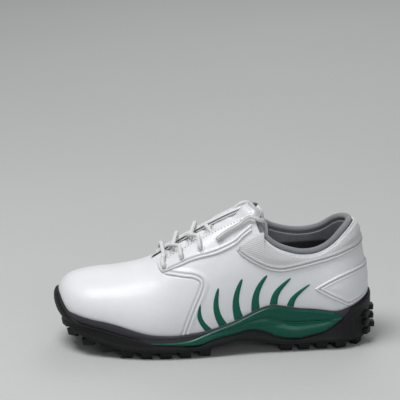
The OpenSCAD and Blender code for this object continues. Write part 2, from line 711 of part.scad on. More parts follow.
// Green plate: a saddle under the arch with a wing up each side
// x | low edge, high edge of the wing
WING = [[-56, 14.4, 15.4], [-36, 12.8, 15.4], [-22, 11.8, 17], [-13, 12.6, 20], [0, 17.1, 25],
    [18, 20.4, 31.4], [31, 22.8, 37.2], [45, 19.8, 42.6], [54, 15.6, 43.2], [70, 12.8, 39.8],
    [89, 15.4, 37.8], [98, 17.8, 36.4], [107.4, 23.4, 34.6], [114, 28.4, 31.4]];

module arch_wing(side) {
    columns = 26;
    rows = 5;
    function walk(s) = lerp(HEEL_WALK + HEEL_X + 56, HEEL_WALK * 0.75, s);
    function edge(q, c) = curve(WING, x_of(q), c);
    function bulge(q, t) = 1.6 * sin(180 * t) * exp(-pow((walk_of(q) - 82) / 32, 2));
    function layer(o, swell) = [for (i = [0:columns])
        let (q = q_of(side, walk(side == OUTER ? i / columns : 1 - i / columns)))
        [for (j = [0:rows]) side_point(q, lerp(edge(q, 1), edge(q, 2), j / rows),
            o + swell * bulge(q, j / rows))]];
    sheet(layer(shell_out, 1), layer(shell_in, 0));
}

// The bar under the arch that joins the two wings; grow and longer make its slot
BRIDGE = [4, 50];
bridge_t = 2;

module arch_bridge(grow = 0, longer = 0) {
    rows = 2;
    xs = [for (i = [0:6]) lerp(BRIDGE[0] - grow, BRIDGE[1] + grow, i / 6)];
    function layer(lift) = [for (x = xs)
        let (
            z = curve(WING, x) + 0.3,
            a = side_point(q_at(OUTER, x), z + 1, shell_in + 0.8 + longer)[1],
            b = side_point(q_at(INNER, x), z + 1, shell_in + 0.8 + longer)[1]
        )
        [for (j = [0:rows]) [kx * (x - CENTRE_X), lerp(a, b, j / rows), kz * z + lift]]];
    sheet(layer(bridge_t + grow), layer(-grow));
}

module arch_plate() {
    color("darkgreen") {
        arch_wing(OUTER);
        arch_wing(INNER);
        arch_bridge();
    }
}

// ---------------------------------------------------------------- outsole and cleats

// x, y of each cleat, in the order of the cleat nodes
CLEATS = [[-80, -19], [-84, 27], [-38, -24], [-42, 28], [90, -15], [90, 15], [116, 0]];
receptacle_r = 8;
receptacle_h = 4;
cleat_disc = 2.2;
stem_h = 4.2;
LEG_DROP = 5;

// Height of the tread's underside on the middle line
TREAD = [[-132, 29], [-122, 22], [-98, 12.6], [-81, 7.9], [-62, 6], [-20, 5.8], [5, 9.5],
    [31, 12], [54, 7.5], [80, 6.5], [132, 8]];
function cleat_base(c) = kz * max(curve(TREAD, c[0]), 6.6) - 0.6;

module at_cleat(k) translate(scaled([CLEATS[k][0], CLEATS[k][1], 0])) children();

// A tread block at p, its length turned to angle, from height top down to foot
module lug(p, angle, l, w, top, foot) {
    translate([p[0], p[1], 0]) rotate([90, 0, angle]) translate([0, 0, -w / 2])
        linear_extrude(height = w)
            polygon([[-l / 2, top], [-l * 0.38, foot], [l * 0.38, foot], [l / 2, top]]);
}

module outsole_blank() {
    function up(t) = function (q) lerp(sole_z(q, 3) + 3, sole_z(q, 2), t);
    function inner(t) = function (q) lerp(sole_z(q, 3) + outsole_floor - 0.2,
        sole_z(q, 2) - 0.05, t);
    ring_solid([
        side_ring(function (q) sole_z(q, 3), shell_out - 3),
        side_ring(up(0), shell_out - 0.3), side_ring(up(0.4), shell_out),
        side_ring(up(0.75), shell_out), side_ring(up(1), shell_out),
        side_ring(inner(1), shell_in), side_ring(inner(0.6), shell_in),
        side_ring(inner(0.25), shell_in), side_ring(inner(0), shell_in)]);
}

module outsole() {
    color([0.12, 0.12, 0.13]) difference() {
        union() {
            outsole_blank();
            edge_lugs();
            centre_lugs();
            heel_lugs();
            for (k = [0:last(CLEATS)])
                at_cleat(k) translate([0, 0, cleat_base(CLEATS[k])])
                    cylinder(r1 = cleat_d / 2 - 0.5, r2 = receptacle_r + 0.6, h = 4, $fn = 32);
        }
        for (k = [0:last(CLEATS)])
            at_cleat(k) {
                translate([0, 0, cleat_base(CLEATS[k]) - 10])
                    cylinder(r = cleat_d / 2 + 1, h = 10, $fn = 32);
                translate([0, 0, cleat_base(CLEATS[k]) - 1])
                    cylinder(r = receptacle_r + 0.1, h = receptacle_h + 12, $fn = 32);
            }
    }
}

// Blocks along the edge of the tread
EDGE_WALKS = [0, 21, 42, 60, 76, 92, 165, 182, 199, 216, 233, 250, 267, 285, 303];
LUG_DEPTH = 6.2;

function lug_foot(z) = max(kz * z - LUG_DEPTH, 0);

module edge_lugs() {
    for (side = [OUTER, INNER], w = EDGE_WALKS) {
        q = q_of(side, w);
        p = scaled(spoke(q, bottom_r(q) - 1.5, 0));
        if (w > 0 || side == OUTER)
            lug(p, side * turn(w) + 90, 12, 8, kz * sole_z(q, 3) + (w > TOE_START ? -0.6 : 2),
                lug_foot(sole_z(q, 3)));
    }
}

// Blocks down the middle of the tread: x, y, length, width
BLOCKS = [[-112, 6, 8, 16], [-99, 4, 8, 18], [-62, 3, 8, 20], [-20, 0, 8, 18], [-62, 26, 9, 9],
    [-60, -26, 9, 9], [-18, -22, 9, 9], [-20, 22, 9, 9], [66, 0, 8, 18], [103, -19, 7, 6],
    [103, 19, 7, 6]];

module centre_lugs() {
    for (b = BLOCKS)
        lug(scaled([b[0], b[1], 0]), 0, b[2], b[3], kz * curve(TREAD, b[0]) + 2,
            lug_foot(curve(TREAD, b[0])));
}

// Rows of teeth up the back of the heel
module heel_lugs() {
    for (z = [12, 20, 28], w = [-17, 0, 17]) {
        q = wrap(w);
        p = side_point(q, z, shell_out - 1.2);
        n = normal(q, 0);
        reach = w == 0 ? 6.4 : 5;
        translate(p) rotate([90, 0, atan2(n[1], n[0])]) translate([0, 0, -4.5])
            linear_extrude(height = 9)
                polygon([[0, -2.8], [reach, -2.6], [reach, -1.2], [0, 3.2]]);
    }
}

module cleat_receptacles() {
    color("gray")
        for (k = [0:last(CLEATS)])
            at_cleat(k) translate([0, 0, cleat_base(CLEATS[k])]) difference() {
                cylinder(r = receptacle_r, h = receptacle_h, $fn = 64);
                translate([0, 0, -1]) cylinder(d = stem_d + 0.1, h = receptacle_h, $fn = 64);
            }
}

// Screw-in cleat: disc, stem and eight splayed legs around a short centre post
CLEAT_LEGS = 8;

module cleat(k) {
    base = cleat_base(CLEATS[k]);
    drop = CLEATS[k][0] < -70 ? LEG_DROP : base;
    color("dimgray") at_cleat(k) translate([0, 0, base]) {
        translate([0, 0, -0.5]) cylinder(d = stem_d, h = stem_h - 1, $fn = 64);
        translate([0, 0, -cleat_disc - 0.1]) difference() {
            cylinder(d = cleat_d - 4, h = cleat_disc, $fn = 64);
            for (a = [0, 180]) rotate(a)
                translate([5.6, 0, -1]) cylinder(r = 1.1, h = cleat_disc, $fn = 24);
        }
        translate([0, 0, -drop + 1]) cylinder(r1 = 2, r2 = 3.4, h = drop - 2, $fn = 32);
        for (a = [0:CLEAT_LEGS - 1]) rotate(a * 360 / CLEAT_LEGS) cleat_leg(drop);
    }
}

// One leg, a bar that slopes out and down from the disc's rim to a flat foot
module cleat_leg(drop) {
    rotate([90, 0, 0]) translate([0, 0, -1.3]) linear_extrude(height = 2.6)
        polygon([[5.5, -0.4], [cleat_d / 2 - 2.4, -0.4], [cleat_d / 2, -drop + 1],
            [cleat_d / 2, -drop], [cleat_d / 2 - 2.2, -drop], [7, -cleat_disc]]);
}

module cleat_toe_outer() cleat(0);
module cleat_toe_inner() cleat(1);
module cleat_ball_outer() cleat(2);
module cleat_ball_inner() cleat(3);
module cleat_heel_outer() cleat(4);
module cleat_heel_inner() cleat(5);
module cleat_heel_back() cleat(6);

// ---------------------------------------------------------------- nodes

outsole();
cleat_receptacles();
arch_plate();
midsole();
heel_gel_pad();
forefoot_gel_pad();
insole_board();
sockliner();
vamp();
toe_puff();
vamp_lining();
quarter_outer_side();
quarter_inner_side();
quarter_lining_outer_side();
quarter_lining_inner_side();
heel_counter();
heel_overlay();
collar_panel();
collar_padding();
collar_lining();
collar_binding();
eyestay_outer_side();
eyestay_inner_side();
side_flash_outer_side();
side_flash_inner_side();
eyelets();
lace();
aglets();
tongue_cover();
tongue_padding();
tongue_lining();
tongue_label();
cleat_toe_outer();
cleat_toe_inner();
cleat_ball_outer();
cleat_ball_inner();
cleat_heel_outer();
cleat_heel_inner();
cleat_heel_back();
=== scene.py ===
"""Looks of a left golf shoe: fine skins, trims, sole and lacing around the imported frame."""
import json
import math

import bmesh
import bpy
import numpy as np
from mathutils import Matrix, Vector


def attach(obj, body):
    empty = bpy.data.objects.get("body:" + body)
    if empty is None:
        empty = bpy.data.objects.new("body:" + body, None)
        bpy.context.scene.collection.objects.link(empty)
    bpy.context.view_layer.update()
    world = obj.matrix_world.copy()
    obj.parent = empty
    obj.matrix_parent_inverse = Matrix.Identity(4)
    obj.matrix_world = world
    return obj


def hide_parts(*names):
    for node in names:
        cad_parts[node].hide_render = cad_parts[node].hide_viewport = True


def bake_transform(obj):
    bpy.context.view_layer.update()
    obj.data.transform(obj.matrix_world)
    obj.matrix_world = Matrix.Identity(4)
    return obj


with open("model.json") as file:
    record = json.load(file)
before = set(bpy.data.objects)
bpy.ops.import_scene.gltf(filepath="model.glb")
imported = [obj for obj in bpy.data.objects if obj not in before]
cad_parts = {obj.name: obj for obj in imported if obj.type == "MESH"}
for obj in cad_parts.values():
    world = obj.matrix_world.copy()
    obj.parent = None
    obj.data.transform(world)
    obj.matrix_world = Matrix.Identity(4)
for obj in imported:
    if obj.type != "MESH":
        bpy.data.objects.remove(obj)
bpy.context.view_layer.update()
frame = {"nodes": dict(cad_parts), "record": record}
MM = 0.001

# ---------------------------------------------------------------- the last, in millimetres
# x from the toe (-) to the heel (+), y towards the inner side, z up. q walks around the shoe
# from the middle of the heel, v rises from the bottom edge (0) to the ridge (1).

OUTER, INNER = -1, 1
SIDES = ((OUTER, "outer_side"), (INNER, "inner_side"))
HEEL_X, TOE_X, HEEL_WALK, TOE_WALK = 100, -98, 56, 64
X0_WALK = HEEL_WALK + HEEL_X
TOE_START = X0_WALK - TOE_X
HALF = TOE_START + TOE_WALK
RIDGE_REACH = 26
CENTRE = np.array([3.8, 0.3, 0.0])

# walk | heights of the bottom edge, side, ridge | radii of the bottom edge, side and
# shoulder, outer side then inner side
STATIONS = np.array([
    [0, 26, 49, 132.5, 36.5, 43.5, 36.5, 36.5, 43.5, 36.5],
    [28, 26, 49, 132.5, 34.5, 41.5, 35, 34.5, 41.5, 35],
    [56, 26.3, 49.4, 133.5, 31.5, 38.5, 33.5, 31, 38, 33],
    [81, 26.4, 49, 133, 32, 38, 34.5, 30.5, 37, 34],
    [111, 25.7, 48.8, 130.8, 33.5, 39, 37, 29.5, 36.5, 36],
    [136, 24.3, 48.5, 122, 36.5, 41, 39, 30.5, 38, 38],
    [161, 21.8, 46, 109, 40.5, 45, 40, 35, 42.5, 39],
    [186, 18.9, 41.5, 94, 45, 50.5, 39, 40.5, 48, 38],
    [211, 17.5, 40, 77, 47.5, 55, 37, 44, 52.5, 37],
    [236, 20.3, 41.9, 70, 45.5, 54, 36, 44, 52, 36],
    [254, 23.5, 44.5, 67.6, 41.5, 51.5, 35, 42, 50.5, 34.5],
    [286, 28, 48, 65.2, 36.5, 48.5, 33.5, 36.5, 48.5, 33.5],
    [318, 30.8, 50, 62.8, 32, 45.5, 32, 32, 45.5, 32]])
SPINE = np.array([[-98, 5], [-55, 1], [0, -3], [50, -2], [100, 0]])
# x of the seam between vamp and quarter, by the rise v
SEAM = np.array([[0, -30.5], [0.16, -26], [0.3, -20], [0.39, -15], [0.46, -13], [0.515, -19],
                 [0.56, -28], [0.64, -40], [0.7, -45.5], [0.76, -48], [0.84, -49]])
THROAT_V = 0.84
THROAT_FRONT = -53
FACING_END = 33
COLLAR_END = X0_WALK - FACING_END
# walk | collar edge, outer side then inner side
COLLAR = np.array([[0, 110, 110], [18, 109, 109], [35, 104, 105], [50, 95.8, 98],
                   [64, 89, 93.5], [77, 87.5, 92.5], [90, 90, 94.5], [103, 95.6, 99],
                   [113, 104, 106], [COLLAR_END, 115.3, 115.5]])
PANEL_LOW = np.array([[0, 92], [18, 88.7], [35, 86.3], [62, 79.4], [85.6, 74.3], [97.5, 73],
                      [109.5, 75.4], [121.4, 81.4], [133, 89.2], [137, 93.5]])
PANEL_TOP = np.array([[112, 108], [117, 107], [130, 100], [137, 94.5]])
HEEL_TOP = np.array([[0, 74], [15.7, 74], [34.6, 72], [49.6, 67], [65.3, 58.8], [68, 57.6]])
HEEL_LOW = np.array([[0, 45.9], [17, 42.9], [33, 39.4], [37, 39.2], [43.6, 42.6], [55.7, 49],
                     [65.3, 54.5], [68, 56.6]])
FACING_LOW = np.array([[-45, 0.69], [-36, 0.665], [-20.7, 0.655], [-0.5, 0.62], [17.5, 0.63],
                       [26, 0.665], [33, 0.69]])
# walk | top of the sole wall | top of the outsole | underside
SOLE = np.array([
    [0, 45, 45, 8], [17, 42, 42, 6.5], [33, 38.5, 38.5, 6.5], [38, 37.2, 31.5, 6.5],
    [42, 36.2, 27.2, 6.5], [48, 35.6, 22.4, 6.5], [56, 36.6, 17.6, 6.5], [67, 38.3, 14.5, 6.5],
    [84, 40.3, 11.9, 6.5], [102, 43.8, 14.6, 7.5], [111, 43.2, 18.8, 9.5],
    [125, 37.8, 21.8, 12], [138, 31.8, 19.4, 12], [156, 25.8, 16.1, 9], [169, 23, 11.8, 6.5],
    [178, 22.2, 11, 6], [192, 21, 12, 5.6], [212, 22.6, 14, 5.6], [224, 25.4, 18, 6],
    [241.6, 30.8, 23, 8.5], [263.5, 35, 29, 14.5], [277.7, 37.4, 32, 19],
    [287.4, 38.8, 38, 22], [296, 45, 45, 24], [304, 49, 49, 26], [318, 50.5, 50.5, 29.5]])
# the plate's wing: x | low edge | high edge
WING = np.array([[-56, 14.4, 15.4], [-36, 12.8, 15.4], [-22, 11.8, 17], [-13, 12.6, 20],
                 [0, 17.1, 25], [18, 20.4, 31.4], [31, 22.8, 37.2], [45, 19.8, 42.6],
                 [54, 15.6, 43.2], [70, 12.8, 39.8], [89, 15.4, 37.8], [98, 17.8, 36.4],
                 [107.4, 23.4, 34.6], [114, 28.4, 31.4]])
# the tongue: s | x | height | half width | drop at its sides
TONGUE = np.array([[0, -53, 71, 20, 7], [0.25, -24, 89, 23.5, 12], [0.5, -3, 101.5, 25, 15.5],
                   [0.72, 14, 109.5, 23, 15.5], [0.88, 25, 117, 20, 10.5],
                   [1, 34, 129, 18.5, 7.5]])
# underside of the tread field: x | height
TREAD = np.array([[-132, 29], [-122, 22], [-98, 12.6], [-81, 7.9], [-62, 6], [-20, 5.8],
                  [5, 9.5], [31, 12], [54, 7.5], [80, 6.5], [132, 8]])
# x at the root, x at the tip, height of the tip, width at the root
BLADES = [[-6, -13, 50, 6], [7, 3, 62, 7], [21, 24, 69, 7.5], [36, 46, 71, 7.5],
          [52, 67, 67.5, 7], [67, 84, 61, 6]]
EYELET_X = [-42, -27, -11, 5]
EYELET_V = 0.73
LACE_R = 1.8
BINDING_R = 2.7
# walk at which the pieces around the heel end, on both sides
PANEL_WALK, OVERLAY_WALK, LINING_WALK = 136.6, 67.6, 127
# distances from the skin's surface, outwards positive
LEATHER_T = 1.4
LINING_OUT, LINING_IN = -2.9, -3.7
LINING_T = 0.8
PAD_T = 4.5
OVERLAY_OUT = 1.35
WALL_OUT = 2.2
SHELL_IN, SHELL_OUT = 2.7, 4.3
# rise v below which the quarter's edge shows as a sewn rim
SEWN_V = 0.665
# around a cleat: room to turn, and how far the tread is cut finer to make it
CLEAT_CLEAR_R, CLEAT_NEAR_R = 12.4, 24


def lerp(a, b, t):
    return a + (b - a) * t


def smooth(a, b, x):
    t = np.clip((x - a) / (b - a), 0, 1)
    return t * t * (3 - 2 * t)


def hump(x, centre, width):
    return np.exp(-((x - centre) / width) ** 2)


def unit(a):
    return a / np.maximum(np.linalg.norm(a, axis=-1, keepdims=True), 1e-9)


def stack(x, y, z):
    """Points from coordinates that broadcast."""
    return np.stack(np.broadcast_arrays(x, y, z), -1).astype(float)


def curve(table, x, c=1, flat=False):
    """Smooth curve through a table's rows: column c at x."""
    xs = table[:, 0].astype(float)
    x = np.asarray(x, float)
    i = np.clip(np.searchsorted(xs, x, side="right") - 1, 0, len(xs) - 2)
    w = xs[i + 1] - xs[i]
    t = np.clip((x - xs[i]) / w, 0, 1)
    lo = np.maximum(np.arange(len(xs)) - 1, 0)
    hi = np.minimum(np.arange(len(xs)) + 1, len(xs) - 1)
    m = (table[hi, c] - table[lo, c]) / (xs[hi] - xs[lo])
    if flat:
        m[0] = m[-1] = 0
    a, b = table[i, c], table[i + 1, c]
    return (a * (1 + 2 * t) * (1 - t) ** 2 + b * t * t * (3 - 2 * t)
            + w * (m[i] * t * (1 - t) ** 2 - m[i + 1] * t * t * (1 - t)))


def wrap(q):
    return np.mod(np.asarray(q, float), 2 * HALF)


def side_of(q):
    return np.where(wrap(q) <= HALF, INNER, OUTER)


def walk_of(q):
    q = wrap(q)
    return np.where(q <= HALF, q, 2 * HALF - q)


def q_of(side, walk):
    return walk + 0.0 if side == INNER else 2 * HALF - walk


def q_at(side, x):
    return q_of(side, X0_WALK - np.asarray(x, float))


def sided(q, c):
    """Station column c on the outer side, c + 3 on the inner side."""
    w = walk_of(q)
    return np.where(side_of(q) == OUTER, curve(STATIONS, w, c, True),
                    curve(STATIONS, w, c + 3, True))


def facing(w):
    """Degrees from +X to the way the skin faces at walk w."""
    return np.where(w < HEEL_WALK, 90 * w / HEEL_WALK,
                    np.where(w > TOE_START, 90 + 90 * (w - TOE_START) / TOE_WALK, 90))


def spoke(q, r, z):
    """Point at height z, r out from the spine in the direction that q faces."""
    w = walk_of(q)
    x = np.clip(X0_WALK - w, TOE_X, HEEL_X)
    a = np.radians(facing(w))
    return stack(x + r * np.cos(a), curve(SPINE, x) + side_of(q) * r * np.sin(a), z) - CENTRE


def rise(q):
    """The four points whose curve is the profile at q: bottom edge, side, shoulder, ridge."""
    w = walk_of(q)
    toe = np.clip((w - TOE_START) / TOE_WALK, 0, 1)
    spine = np.clip(X0_WALK - w, TOE_X, HEEL_X)
    rx = spine - RIDGE_REACH * np.sin(np.radians(90 * toe))
    top = curve(STATIONS, w, 3, True)
    shoulder = spoke(q, sided(q, 6), top)
    lean = np.where(w > TOE_START, lerp(0.14, 0.32, toe), 0)
    shoulder[..., 2] = top + lean * (shoulder[..., 0] + CENTRE[0] - rx)
    return (spoke(q, sided(q, 4), curve(STATIONS, w, 1, True)),
            spoke(q, sided(q, 5), curve(STATIONS, w, 2, True)),
            shoulder, stack(rx, curve(SPINE, rx), top) - CENTRE)


def bezier(c, v):
    v = np.asarray(v, float)[..., None]
    return ((1 - v) ** 3 * c[0] + 3 * (1 - v) ** 2 * v * c[1] + 3 * (1 - v) * v * v * c[2]
            + v ** 3 * c[3])


def normal(q, v):
    """Unit normal of the skin, outwards; steady near the ridge, where the sides meet."""
    u = np.minimum(v, 0.97)
    c = rise(q)
    w = np.asarray(u, float)[..., None]
    up = ((1 - w) ** 2 * (c[1] - c[0]) + 2 * (1 - w) * w * (c[2] - c[1])
          + w * w * (c[3] - c[2]))
    return unit(np.cross(bezier(rise(q + 0.5), u) - bezier(rise(q - 0.5), u), up))


def skin(q, v, o=0.0):
    """Point of the upper at walk q and rise v, o outside its surface."""
    q, v = np.broadcast_arrays(np.asarray(q, float), np.asarray(v, float))
    o = np.asarray(o, float)
    return bezier(rise(q), v) + o[..., None] * normal(q, v)


def v_at(q, z):
    """Rise v at which the skin reaches height z."""
    q, z = np.broadcast_arrays(np.asarray(q, float), np.asarray(z, float))
    c = rise(q)
    lo, hi = np.zeros(q.shape), np.ones(q.shape)
    for _ in range(16):
        m = (lo + hi) / 2
        below = bezier(c, m)[..., 2] < z
        lo, hi = np.where(below, m, lo), np.where(below, hi, m)
    return (lo + hi) / 2


def collar_v(q):
    """Rise of the collar's edge, led into the throat's edge at its front end."""
    w = walk_of(q)
    z = np.where(side_of(q) == OUTER, curve(COLLAR, w, 1, True), curve(COLLAR, w, 2, True))
    return lerp(v_at(q, z), THROAT_V, smooth(COLLAR_END - 7, COLLAR_END, w))


def seam_walk(v):
    return X0_WALK - curve(SEAM, np.minimum(v, THROAT_V))


def bottom_r(q):
    return sided(q, 4)


def bottom_z(q):
    return curve(STATIONS, walk_of(q), 1, True)


def sole_z(q, c):
    return curve(SOLE, walk_of(q), c, True)


def flat_normal(q, v=0.0):
    n = normal(q, np.broadcast_to(v, np.shape(q)))
    n[..., 2] = 0
    return unit(n)


def side_point(q, z, o):
    """Point on the sole's side at height z, o outside the upper."""
    q, z, o = (a.astype(float) for a in np.broadcast_arrays(q, z, o))
    b = bottom_z(q)
    low = spoke(q, bottom_r(q), z) + (o + 0.12 * (b - z))[..., None] * flat_normal(q)
    v = v_at(q, np.maximum(z, b))
    n = normal(q, v)
    f = flat_normal(q, v)
    share = np.clip((z - b) / 6, 0, 1)[..., None]
    high = skin(q, v) + o[..., None] * lerp(f, n, share)
    return np.where((z < b)[..., None], low, high)


# ---------------------------------------------------------------- materials

class Finish:
    """A procedural material, built node by node around its Principled shader."""

    def __init__(self, name, colour, rough, **inputs):
        self.name = name
        self.mat = bpy.data.materials.new(name + "_finish")
        self.mat.use_nodes = True
        self.tree = self.mat.node_tree
        self.bsdf = self.tree.nodes["Principled BSDF"]
        self.colour = (*colour, 1)
        self.bsdf.inputs["Base Color"].default_value = self.colour
        self.bsdf.inputs["Roughness"].default_value = rough
        for key, value in inputs.items():
            self.bsdf.inputs[key.replace("_", " ")].default_value = value
        self.coord = self.add("ShaderNodeTexCoord")
        self.place = self.coord.outputs["Object"]
        self.grid = self.coord.outputs["UV"]
        self.bump = None

    def add(self, kind, inputs=None, **props):
        n = self.tree.nodes.new(kind)
        for key, value in props.items():
            setattr(n, key, value)
        for key, value in (inputs or {}).items():
            if isinstance(value, bpy.types.NodeSocket):
                self.tree.links.new(value, n.inputs[key])
            else:
                n.inputs[key].default_value = value
        return n

    def link(self, socket, name):
        self.tree.links.new(socket, self.bsdf.inputs[name])

    def math(self, op, a, b=0.0):
        return self.add("ShaderNodeMath", {0: a, 1: b}, operation=op).outputs[0]

    def noise(self, scale, detail=2.0, rough=0.5):
        return self.add("ShaderNodeTexNoise", {"Vector": self.place, "Scale": scale,
                                               "Detail": detail, "Roughness": rough}).outputs[0]

    def cells(self, scale):
        return self.add("ShaderNodeTexVoronoi", {"Vector": self.place, "Scale": scale},
                        feature="DISTANCE_TO_EDGE").outputs["Distance"]

    def relief(self, height, depth):
        """Adds a bump of depth metres; height is a socket from 0 to 1."""
        ins = {"Height": height, "Distance": depth, "Strength": 1.0}
        if self.bump is not None:
            ins["Normal"] = self.bump
        self.bump = self.add("ShaderNodeBump", ins).outputs[0]
        self.link(self.bump, "Normal")
        return self

    def tint(self, mask, colour):
        """Mixes the base colour towards colour where mask is 1."""
        node = self.add("ShaderNodeMix", {0: mask}, data_type="RGBA")
        source = self.bsdf.inputs["Base Color"]
        if source.is_linked:
            self.tree.links.new(source.links[0].from_socket, node.inputs[6])
        else:
            node.inputs[6].default_value = self.colour
        node.inputs[7].default_value = (*colour, 1)
        self.tree.links.new(node.outputs[2], source)
        return self

    def worn(self, low, high, scale):
        """Lets roughness wander between low and high."""
        ramp = self.add("ShaderNodeMapRange", {0: self.noise(scale, 3), 1: 0.3, 2: 0.7,
                                               3: low, 4: high})
        self.link(ramp.outputs[0], "Roughness")
        return self

    def tint_painted_shade(self, colour, share=1.0):
        """Tints towards colour by the painted shade that the mesh carries, in its sewn grooves and
        other shaded places.
        """
        painted_shade = self.add("ShaderNodeAttribute", attribute_name="painted_shade").outputs["Fac"]
        return self.tint(self.math("MULTIPLY", painted_shade, share), colour)

    def uv(self):
        split = self.add("ShaderNodeSeparateXYZ", {0: self.grid})
        return split.outputs[0], split.outputs[1]


def leather(name, colour, rough, grain=1.0, **inputs):
    f = Finish(name, colour, rough, **inputs)
    f.relief(f.cells(820), 0.00010 * grain)
    f.relief(f.noise(2600, 2), 0.00005 * grain)
    f.relief(f.noise(95, 3), 0.00035 * grain)
    f.worn(rough - 0.06, rough + 0.08, 60)
    shade = tuple(0.93 * c for c in colour)
    f.tint(f.math("MULTIPLY", f.noise(38, 4), 0.5), shade)
    # grey painted shade in the sewn grooves and along the edges of the pieces
    return f.tint_painted_shade((0.30, 0.31, 0.32), 0.75)


def knit(name, colour, pitch, dark, **inputs):
    """Fabric with fine loops, in the piece's own grid of millimetres."""
    f = Finish(name, colour, 0.9, Sheen_Weight=0.35, Sheen_Roughness=0.5, **inputs)
    u, v = f.uv()
    row = f.math("SINE", f.math("MULTIPLY", v, 2 * math.pi / pitch))
    stitch = f.math("SINE", f.math("ADD", f.math("MULTIPLY", u, 2 * math.pi / pitch), row))
    loops = f.math("ADD", f.math("MULTIPLY", f.math("ADD", row, stitch), 0.25), 0.5)
    f.relief(loops, 0.00030)
    f.relief(f.noise(2400, 2), 0.00025)
    f.tint(f.math("MULTIPLY", f.noise(150, 5, 0.7), 0.9), dark)
    # near-black painted shade where the mesh carries it: the low part of the collar lining
    return f.tint_painted_shade((0.010, 0.010, 0.012))


def dotted(name, colour):
    """Leather pressed with rows of fine dots, with painted shade in the pits."""
    f = leather(name, colour, 0.5, 0.6)
    u, v = f.uv()
    k = 2 * math.pi
    a = f.math("SINE", f.math("MULTIPLY", u, k / 2.1))
    b = f.math("SINE", f.math("MULTIPLY", v, k / 1.7))
    dots = f.math("MULTIPLY", a, b)
    pits = f.add("ShaderNodeMapRange", {0: dots, 1: 0.25, 2: 0.75, 3: 1.0, 4: 0.0}).outputs[0]
    f.relief(pits, 0.0009)
    # the pits are darkened: painted shade in them
    return f.tint(f.math("SUBTRACT", 1.0, pits), tuple(0.62 * c for c in colour))


def rubber(name, colour, rough, grain):
    f = Finish(name, colour, rough, Specular_IOR_Level=0.22)
    f.relief(f.cells(1100), 0.00022 * grain)
    f.relief(f.noise(700, 3), 0.00022 * grain)
    f.worn(rough - 0.08, rough + 0.12, 45)
    return f.tint(f.math("MULTIPLY", f.noise(60, 4), 0.55), tuple(2.0 * c + 0.004 for c in colour))


def gloss(name, colour, rough=0.28):
    f = Finish(name, colour, rough, Specular_IOR_Level=0.2, Coat_Weight=0.12,
               Coat_Roughness=0.12)
    f.relief(f.noise(420, 2), 0.00004)
    f.worn(rough - 0.06, rough + 0.1, 80)
    flakes = f.add("ShaderNodeMapRange", {0: f.noise(3600, 1), 1: 0.6, 2: 0.78}).outputs[0]
    return f.tint(f.math("MULTIPLY", flakes, 0.25), tuple(min(1, 2.0 * c + 0.004) for c in colour))


def plastic(name, colour, rough, grain=1.0, **inputs):
    f = Finish(name, colour, rough, **inputs)
    f.relief(f.noise(900, 3), 0.00008 * grain)
    f.worn(rough - 0.07, rough + 0.1, 90)
    return f.tint(f.math("MULTIPLY", f.noise(140, 4), 0.5), tuple(0.8 * c for c in colour))


def cord_weave(name, colour):
    """Braided cord: u runs around the cord, v along it, in millimetres."""
    f = Finish(name, colour, 0.85, Sheen_Weight=0.2)
    u, v = f.uv()
    k = 2 * math.pi
    across, along = f.math("MULTIPLY", u, k / 2.8), f.math("MULTIPLY", v, k / 3.0)
    a = f.math("SINE", f.math("ADD", across, along))
    b = f.math("SINE", f.math("SUBTRACT", across, along))
    weave = f.math("ADD", f.math("MULTIPLY", f.math("MULTIPLY", a, b), 0.5), 0.5)
    f.relief(weave, 0.00045)
    f.relief(f.noise(3000, 2), 0.0001)
    # painted shade in the braid's hollows, where the weave is low
    return f.tint(f.math("MULTIPLY", f.math("SUBTRACT", 1.0, weave), 0.55), (0.55, 0.55, 0.54))


WHITE = (0.76, 0.77, 0.79)
M = {f.name: f for f in [
    leather("white_leather", WHITE, 0.42, Coat_Weight=0.08),
    leather("pearl_leather", (0.74, 0.75, 0.77), 0.36, 0.7, Coat_Weight=0.15),
    dotted("white_mesh", (0.76, 0.77, 0.78)),
    knit("white_lining", (0.68, 0.69, 0.70), 0.8, (0.6, 0.61, 0.62)),
    knit("grey_fabric", (0.30, 0.31, 0.33), 1.1, (0.14, 0.15, 0.16)),
    knit("silver_fabric", (0.27, 0.285, 0.30), 0.7, (0.22, 0.23, 0.25)),
    knit("black_fabric", (0.018, 0.018, 0.02), 1.2, (0.03, 0.03, 0.032)),
    knit("grey_label", (0.55, 0.57, 0.58), 0.6, (0.45, 0.47, 0.48)),
    rubber("black_rubber", (0.006, 0.006, 0.007), 0.5, 1.0),
    rubber("grey_midsole", (0.034, 0.033, 0.041), 0.3, 0.3),
    gloss("green_gloss", (0.0, 0.075, 0.046)),
    gloss("green_trim", (0.0, 0.105, 0.062), 0.4),
    plastic("grey_plastic", (0.25, 0.25, 0.26), 0.5),
    plastic("cleat_plastic", (0.05, 0.05, 0.055), 0.45),
    plastic("clear_gel", (0.35, 0.5, 0.65), 0.15, Transmission_Weight=0.5),
    plastic("fibre_board", (0.45, 0.33, 0.2), 0.85, 3.0),
    plastic("stiffener", (0.5, 0.4, 0.27), 0.8, 2.0),
    plastic("foam", (0.7, 0.64, 0.42), 0.95, 6.0),
    plastic("white_plastic", (0.74, 0.75, 0.76), 0.35),
    plastic("clear_plastic", (0.7, 0.72, 0.74), 0.2, Transmission_Weight=0.3),
    plastic("grey_thread", (0.36, 0.37, 0.38), 0.7),
    cord_weave("white_cord", (0.82, 0.82, 0.81)),
]}
for item in frame["record"]["subparts"]:
    node = frame["nodes"][item["node"]]
    node.data.materials.clear()
    node.data.materials.append(M[item["material_slot"]].mat)

# ---------------------------------------------------------------- meshes from point grids


